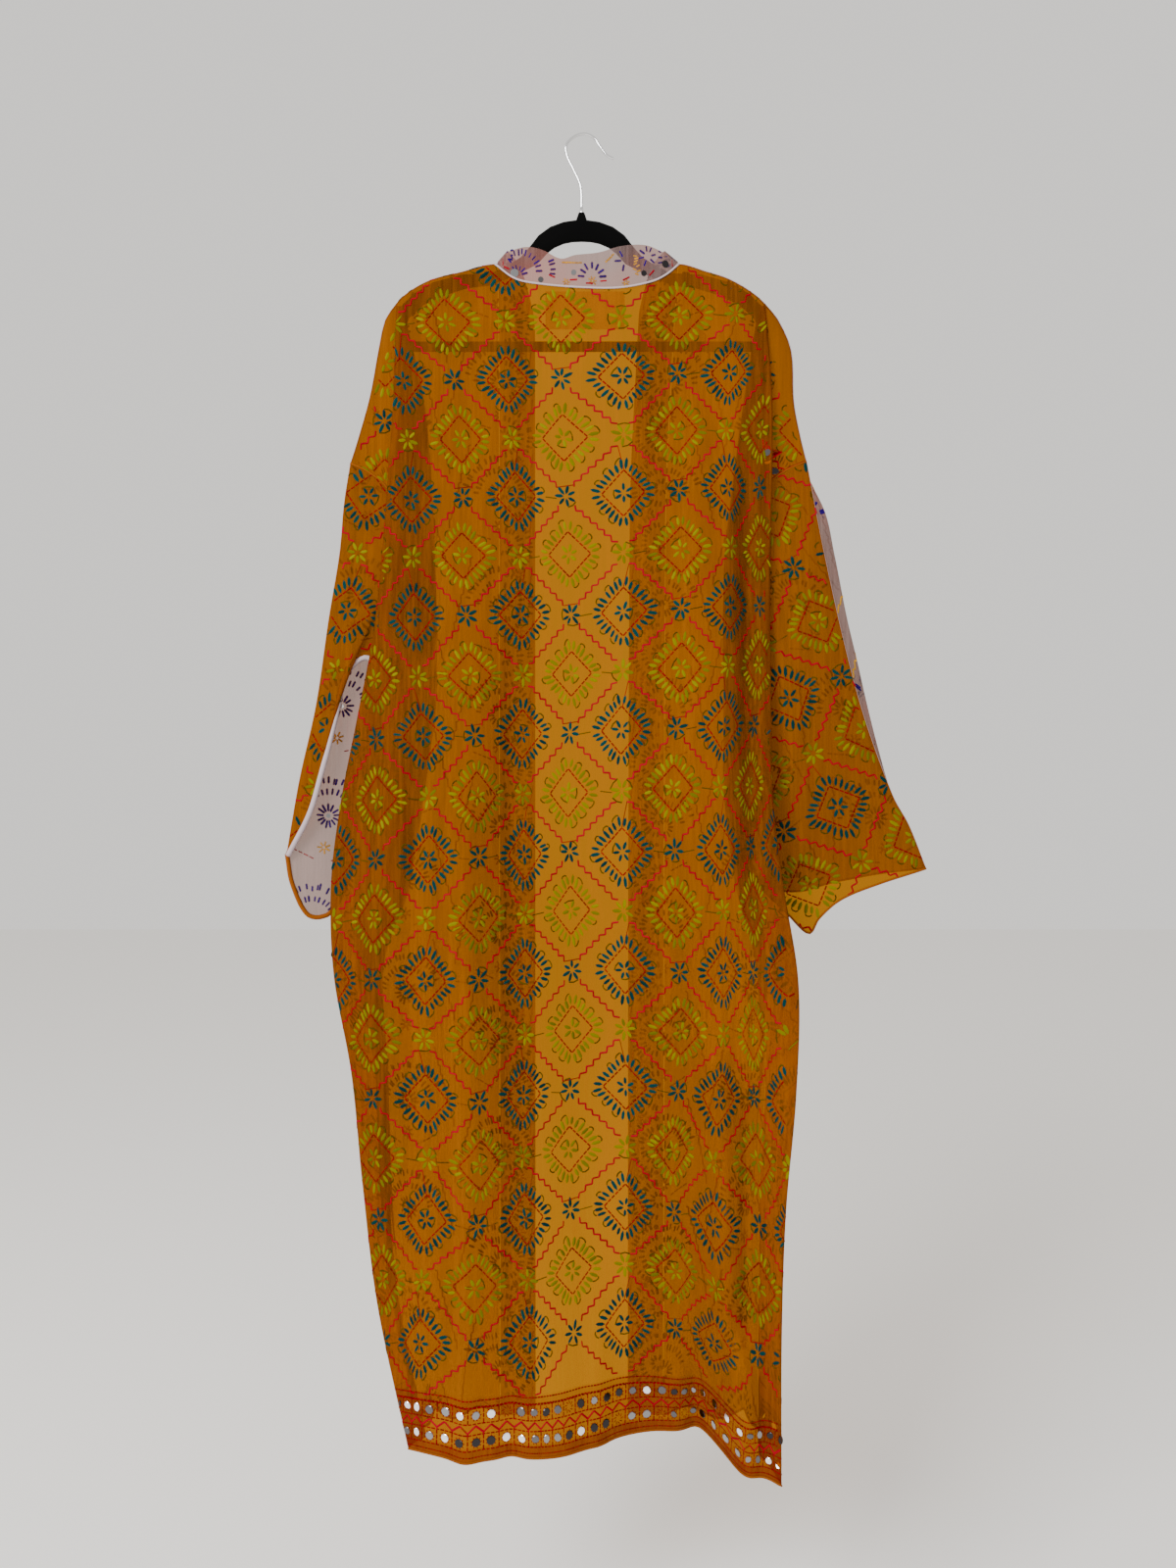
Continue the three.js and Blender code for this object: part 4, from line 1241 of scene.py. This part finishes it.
def neckband_motifs(sheet, navy, ochre, red, beads):
    """Arches, half flowers and small mirrors along the neckband. v is up from its seam."""
    # Round the back of the neck, from its left shoulder to its right one
    arch(navy, (-73, 11), 20, 8, 172, 11, 8, 3.2)
    arch(navy, (-76, 5), 8, 25, 155, 5, 8, 3.2)
    arch(navy, (-73, 11), 36, 2, 52, 7, 8.5, 3.2)
    arch(navy, (8.6, 12), 12.5, 2, 178, 7, 9.5, 3.6)
    arch(navy, (48, 29), 8, 110, 250, 3, 8.5, 3.2)
    arch(navy, (77, 28), 8.5, -60, 230, 7, 8.5, 3.2)
    rosette(ochre, (8.6, 8), 7, 5, 0.8, 1.8)
    stair(ochre, (-28, 26), (-3, 27), 6, 2.2)
    stair(ochre, (25, 29), (36, 38), 4, 2.2)
    for k in range(8):
        ochre.sew(60 + jitter(3.5), 12 + 2.8 * k, jitter(0.8), 5, 2.2)
    rosette(ochre, (-21, 5), 6, 4.5, 0.8, 1.8)
    rosette(ochre, (46, 5), 6, 4.5, 0.8, 1.8)
    for u, v, size in ((-81, 5, 9.7), (-50, 5, 6.8), (-13, 16, 6.5), (68, 11, 7), (97, 10, 8.5)):
        beads.sew(u, v, 0, size, size)
    for u, v, turn in (
        (-100, 7, -0.8), (-92, 5, 0.2), (-38, 10, -0.3), (-13, 8, 0.1), (5, 5, 0), (21, 8, 0.1),
        (47, 9, 0.3), (77, 9, 0.5), (106, 5, 0.7),
    ):
        red.sew(u, v, turn, 8, 1.6)
    # Down both front edges
    low, high = sheet.u.min(), sheet.u.max()
    for start, stop, step in ((120, high, 62), (-120, low, -62)):
        for k, u in enumerate(np.arange(start, stop, step)):
            arch(navy, (u, 4), 20, 8, 172, 12, 7.5, 3)
            arch(navy, (u, 4), 31, 20, 160, 15, 7, 3)
            rosette(navy, (u, 6), 9, 10, 3.5, 3)
            rosette(ochre, (u + step / 2, 22), 7, 7, 1.5, 1.8)
            stair(ochre, (u + step / 2 - 14, 34), (u + step / 2 + 10, 38), 4, 1.5)
            beads.sew(u + step / 2, 8, 0, 5 + k % 2, 5 + k % 2)


def back_neck_seam():
    x = np.linspace(NECKLINE["x"][0], NECKLINE["x"][-1], 60)
    return np.stack([x, np.full_like(x, NECK_Y - 1.4), at_x(NECKLINE, x) + 0.4], -1)


def shoulder_line(side):
    """The seam over the shoulder and down the dropped shoulder, from the neck."""
    start, end = FRONT_SEAM[side][0], BACK[side][0]
    x = np.linspace(start, end, 40)
    over = np.stack([x, np.zeros_like(x), at_x(SHOULDER, x) + 0.4], -1)
    down = along(DROPPED_SHOULDER[side], even(40))
    drop = np.stack([down[0], np.zeros_like(down[0]), down[1]], -1)
    return spaced(np.concatenate([over, drop[1:]]), TRIM_STEP)


# Hanger, label and trims
TRIM_STEP = 4  # distance between the points of an edge's trim
HOOK_PATH = table(
    "x z",
    (-5, -86.5), (-6, -57), (-14, -38), (-21, -23), (-22, -11), (-13, -1.5),
    (-1, 1.5), (9, -3), (16, -13), (23, -22), (30, -26),
)


def hanger_velvet():
    """The hanger with its edges rounded, as flocked wood-slim plastic is."""
    source = next(o for o in bpy.context.scene.objects if o.name == "hanger")
    bm = bmesh.new()
    bm.from_mesh(source.data)
    bmesh.ops.remove_doubles(bm, verts=bm.verts, dist=1e-5)
    bmesh.ops.dissolve_limit(bm, angle_limit=0.02, verts=bm.verts, edges=bm.edges)
    rims = [e for e in bm.edges if len(e.link_faces) == 2 and e.calc_face_angle() > 1.2]
    bmesh.ops.bevel(
        bm, geom=rims, offset=1.7 * MM, offset_type="OFFSET", segments=3, profile=0.5, affect="EDGES"
    )
    mesh = bpy.data.meshes.new("hanger_velvet")
    bm.to_mesh(mesh)
    bm.free()
    smooth_faces(mesh)
    return shown("hanger_velvet", mesh)


def hook_wire():
    run = along(HOOK_PATH, even(120))
    points = np.stack([run[0], np.zeros_like(run[0]), run[1]], -1)
    wire = tube("wire", points, 1.5, 16)
    tip_points = points[-1] + np.array([[0, 0, 0], [0.6, 0, -0.3], [0.9, 0, -0.45]])
    tip = tube("tip", tip_points, [1.5, 1.1, 0.3], 16)
    heights = np.array([-90, -86, -84, -80.5])
    collar = np.stack([np.full(4, -5.0), np.zeros(4), heights], -1)
    ferrule = tube("ferrule", collar, [2.4, 2.4, 2.2, 1.6], 20)
    return joined("hook_wire", [wire, tip, ferrule])


def neck_label():
    """A bare woven label, bowed a little, held at its two ends."""
    low, high = (c * 1000 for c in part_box("neck_label"))
    x, t = np.linspace(low[0], high[0], 25), np.linspace(-1, 1, 25)
    z = np.linspace(high[2], low[2], 13)
    y = low[1] + 0.35 + 0.5 * (1 - t**2)
    grid = np.stack(np.broadcast_arrays(x[None], y[None], z[:, None]), -1)
    return sheet_mesh("neck_label_cloth", grid, *arc_lengths(grid))


def edge_run(grid, end):
    """One edge of a grid of points: top, bottom, first or last."""
    edges = {"top": grid[0], "bottom": grid[-1], "first": grid[:, 0], "last": grid[:, -1]}
    return spaced(edges[end], TRIM_STEP)


# The robe, dressed
HEM_TURN = 13  # height of the turned hem, where the cloth lies double
BORDER_GROUND = 0.4  # how much of the hem's red ground shows behind the border
# The orange's gap tint is darker and its cover higher than the cloth alone gives: partly its own orange
# filter, partly painted shade, as if a shaded wall stood close behind the robe.
ORANGE = sheer_cloth(
    "orange georgette", (0.170, 0.048, 0.0), (0.74, 0.32, 0.012), 0.58, (0.13, 0.014, 0.0), 0
)
LILAC = sheer_cloth(
    "lilac georgette", (0.26, 0.185, 0.175), (0.74, 0.58, 0.52), 0.42, (0.34, 0.12, 0.10), 0.8
)
# The sleeve fronts use a darker copy of the lilac, with a darker gap tint and denser cover: painted
# shade, for the shade the sleeves hang in.
SHADED_SLEEVE_LILAC = sheer_cloth(
    "sleeve georgette in painted shade", (0.19, 0.13, 0.12), (0.60, 0.46, 0.41), 0.5, (0.28, 0.09, 0.07), 0.85
)
BAND_CLOTH = sheer_cloth(
    "neckband georgette", (0.17, 0.112, 0.105), (0.70, 0.53, 0.48), 0.56, (0.27, 0.09, 0.07), 0.85
)
TEAL = thread_paint("teal thread", (0.0, 0.026, 0.029))
OLIVE = thread_paint("olive thread", (0.125, 0.112, 0.0))
RED = thread_paint("red thread", (0.24, 0.0, 0.009), 0.2)
DULL_RED = thread_paint("fine red thread", (0.15, 0.0, 0.003))
LOOP = thread_paint("loop thread", (0.05, 0.034, 0.0))
NAVY = thread_paint("navy thread", (0.012, 0.0, 0.09))
OCHRE = thread_paint("ochre thread", (0.42, 0.20, 0.004))
MIRROR = mirror_painted_reflections()
PIPING = paint("pale piping", (0.42, 0.34, 0.36), 0.8)
EDGE = paint("rolled orange edge", (0.2, 0.05, 0.0), 0.85)
VELVET = paint("black velvet", (0.002, 0.002, 0.002), 1.0, specular=0.0)
VELVET.node_tree.nodes["Principled BSDF"].inputs["Sheen Weight"].default_value = 0.04
CHROME = paint("chrome wire", (0.72, 0.72, 0.73), 0.14, 1.0, 0.5)
LABEL_CLOTH = woven_label("label cloth", (0.9, 0.86, 0.78))

ROWS = sheet_rows(250)
BACK_STEPS, FRONT_STEPS, SLEEVE_STEPS = 160, 44, (90, 60)
FRONT_TOP_Z = -150
back = back_points(ROWS, BACK_STEPS)
sheets = {"back": (Sheet(back, back_cut(back), -1), ORANGE)}
for side in INWARD:
    points = front_points(side, ROWS, FRONT_STEPS)
    run = arc_lengths(points)[0]
    cut = (run[:, -1:] - run, FRONT_TOP_Z - points[..., 2])
    sheets[f"front_{side}"] = (Sheet(points, cut, 1), LILAC)
band = band_grid()
band_run = arc_lengths(band)
middle_row = np.argmin(np.where(band[:, 0, 1] < 0, np.abs(band[:, 0, 0]), 1e9))
band_u = band_run[1][:, :1] - band_run[1][middle_row, 0] + np.zeros_like(band_run[1])
sheets["neckband"] = (Sheet(band, (band_u, band_run[0]), -1), BAND_CLOTH)
# Where a known repeat lies on each sleeve half: x and z, its repeats, the grain's turn in degrees
# and 1 or -1 for the way its pattern runs
SLEEVE_GRAIN = {
    ("left", -1): ((-287, -660), (0.0, 0.5), 10, -1),
    ("right", -1): ((278, -748.6), (0.0, 0.5), 24, 1),
    ("left", 1): ((-290, -757), (0.0, 0.0), 8, -1),
    ("right", 1): ((300, -640), (0.0, 0.0), 16, 1),
}
for (side, face), (place, repeat, angle, mirror) in SLEEVE_GRAIN.items():
    name = f"sleeve_{side}_{'back' if face < 0 else 'front'}"
    points = sleeve_points(side, face, *SLEEVE_STEPS)
    flat = points
    if (side, face) == ("right", 1):
        run = arc_lengths(points)[0]
        flat = points.copy()
        flat[..., 0] = points[:, -1:, 0] + run[:, -1:] - run
    cut = turned_cut(flat, place, repeat, angle, mirror)
    sheets[name] = (Sheet(points, cut, face), ORANGE if face < 0 else SHADED_SLEEVE_LILAC)

for name, (sheet, cloth) in sheets.items():
    piece = sheet_mesh("cloth_" + name, sheet.points, sheet.u, sheet.v)
    if name == "back":
        above_hem = sheet.points[..., 2] - HEM_Z
        zones = [above_hem < HEM_TURN, above_hem < BORDER["top_lines"][0]]
        ground = np.select(zones, [1.0, BORDER_GROUND], 0)
        values = piece.data.attributes.new("ground", "FLOAT", "POINT").data
        values.foreach_set("value", ground.astype(np.float32).ravel())
    finish(piece, "orange_cloth" if cloth is ORANGE else "lilac_cloth", name, material=cloth)

sewn_places = {}
LATTICE_THREADS = ("teal", "olive", "red", "outline", "loops", "fine")
LILAC_THREADS = ("navy", "ochre", "lilac_red", "beads")
BORDER_THREADS = ("red", "outline", "mirrors", "rims")
LAST_LATTICE_ROW = 8.6  # repeats down the back, over which the border lies plain


def embroider(sheet, keys, chart, *details):
    """Sews a chart on a sheet, in one thread for each key."""
    threads = [Thread() for _ in keys]
    chart(sheet, *details, *threads)
    for key, thread in zip(keys, threads):
        if thread.rows:
            sewn_places.setdefault(key, []).append(placed(sheet, thread))


whole_back = sheets["back"][0]
between = slice(FLAP_STEPS, -FLAP_STEPS)
middle = Sheet(back[:, between], (whole_back.u[:, between], whole_back.v[:, between]), -1)
sewn_sheets = {**sheets, "back": (middle, ORANGE)}
for side, columns in (("left", slice(0, FLAP_STEPS + 1)), ("right", slice(-FLAP_STEPS - 1, None))):
    sewn_sheets[side + "_flap"] = (flap_sheet(back, columns, FLAP_GRAIN[side]), ORANGE)
for name, (sheet, cloth) in sewn_sheets.items():
    if cloth is ORANGE:
        lowest = math.inf if name.startswith("sleeve") else LAST_LATTICE_ROW * PERIOD_V
        embroider(sheet, LATTICE_THREADS, lattice, lowest)
    elif cloth is not BAND_CLOTH:
        embroider(sheet, LILAC_THREADS, scallops)
hem = Sheet(back, (whole_back.u, back[..., 2] - HEM_Z), -1)
embroider(hem, BORDER_THREADS, mirror_border)
embroider(whole_back, BORDER_THREADS, armhole_border, "right", slice(-FLAP_STEPS, None))
embroider(sheets["neckband"][0], LILAC_THREADS, neckband_motifs)

STITCH_OF = {
    "teal": (PETAL, TEAL), "olive": (PETAL, OLIVE), "red": (RUN, RED), "outline": (RUN, DULL_RED),
    "loops": (RUN, LOOP), "fine": (RUN, DULL_RED), "rims": (RUN, DULL_RED), "navy": (SATIN, NAVY),
    "ochre": (RUN, OCHRE), "lilac_red": (RUN, RED), "beads": (DISC, MIRROR), "mirrors": (DISC, MIRROR),
}
for seed, (key, places) in enumerate(sewn_places.items()):
    stitch, material = STITCH_OF[key]
    slot_name = "mirror_disc" if stitch is DISC else "embroidery_thread"
    finish(sewn(f"stitches_{key}", stitch, material, places, seed), slot_name)

orange_edges = [tube("hem", edge_run(back, "bottom"), 1.3)]
for side in INWARD:
    sleeve = sheets[f"sleeve_{side}_back"][0].points
    orange_edges.append(tube("cuff", edge_run(sleeve, "bottom"), 1.2))
    orange_edges.append(tube("armhole", edge_run(sleeve, "top"), 1.1))
    inner = "last" if abs(sleeve[0, -1, 0]) < abs(sleeve[0, 0, 0]) else "first"
    orange_edges.append(tube("underarm", edge_run(sleeve, inner), 1.0))
opening = sheets["sleeve_left_front"][0].points[-1]
orange_edges.append(tube("left_cuff", spaced(opening[: len(opening) // 2], TRIM_STEP), 2.6))
rolled = joined("rolled_edges", orange_edges)
finish(rolled, "orange_cloth", material=EDGE)

pale_edges = [tube("neck", spaced(back_neck_seam(), TRIM_STEP), 1.1)]
for side in INWARD:
    front = sheets[f"front_{side}"][0].points
    sleeve = sheets[f"sleeve_{side}_front"][0].points
    pale_edges.append(tube("front_hem", edge_run(front, "bottom"), 1.2))
    pale_edges.append(tube("front_cuff", edge_run(sleeve, "bottom"), 1.1))
    pale_edges.append(tube("shoulder", shoulder_line(side), 0.9))
    outer = "first" if abs(sleeve[0, -1, 0]) < abs(sleeve[0, 0, 0]) else "last"
    pale_edges.append(tube("sleeve_seam", edge_run(sleeve, outer), 0.9))
turned_cuff = edge_run(sheets["sleeve_left_back"][0].points, "bottom")
pale_edges.append(tube("turned_cuff", turned_cuff + np.array([1.5, 1.0, -1.5]), 3.2))
piping = joined("pale_edges", pale_edges)
finish(piping, "piping", material=PIPING)

velvet = hanger_velvet()
finish(velvet, "hanger_velvet", "hanger", material=VELVET)
wire = hook_wire()
finish(wire, "hook_wire", "hanger_hook", material=CHROME)
tag = neck_label()
finish(tag, "label_cloth", "neck_label", material=LABEL_CLOTH)

# Camera, floor and light
SENSOR_WIDTH = 36
FRAME_HEIGHT_PX, FOCAL_LENGTH_PX = 1600, 1200.9
camera = bpy.data.cameras.new("view")
camera.lens = SENSOR_WIDTH * FOCAL_LENGTH_PX / FRAME_HEIGHT_PX
camera.sensor_width = SENSOR_WIDTH
eye = shown("view", camera)
eye.location = (0.0022, -1.311, -0.7226)
eye.rotation_euler = (math.pi / 2, 0, 0)
bpy.context.scene.camera = eye


FLOOR_HALF, FLOOR_Z = 7, -1.75
floor_mesh = bpy.data.meshes.new("floor")
corners = [(x * FLOOR_HALF, y * FLOOR_HALF, FLOOR_Z) for x, y in ((-1, -1), (1, -1), (1, 1), (-1, 1))]
floor_mesh.from_pydata(corners, [], [(0, 1, 2, 3)])
floor_mesh.materials.append(paint("pale studio", (0.93, 0.91, 0.88), 0.9))
floor = shown("floor", floor_mesh)

world = bpy.data.worlds.new("studio")
bpy.context.scene.world = world
world.use_nodes = True
world.node_tree.nodes["Background"].inputs["Color"].default_value = (0.8, 0.78, 0.75, 1)
world.node_tree.nodes["Background"].inputs["Strength"].default_value = 1.25


def add_light(name, place, aim, size, power):
    light = bpy.data.lights.new(name, "AREA")
    light.size = size
    light.energy = power
    lamp = shown(name, light)
    lamp.location = place
    lamp.rotation_euler = (Vector(aim) - Vector(place)).to_track_quat("-Z", "Y").to_euler()


add_light("key", (-1.6, -2.4, 0.9), (0, 0, -0.7), 1.4, 150)
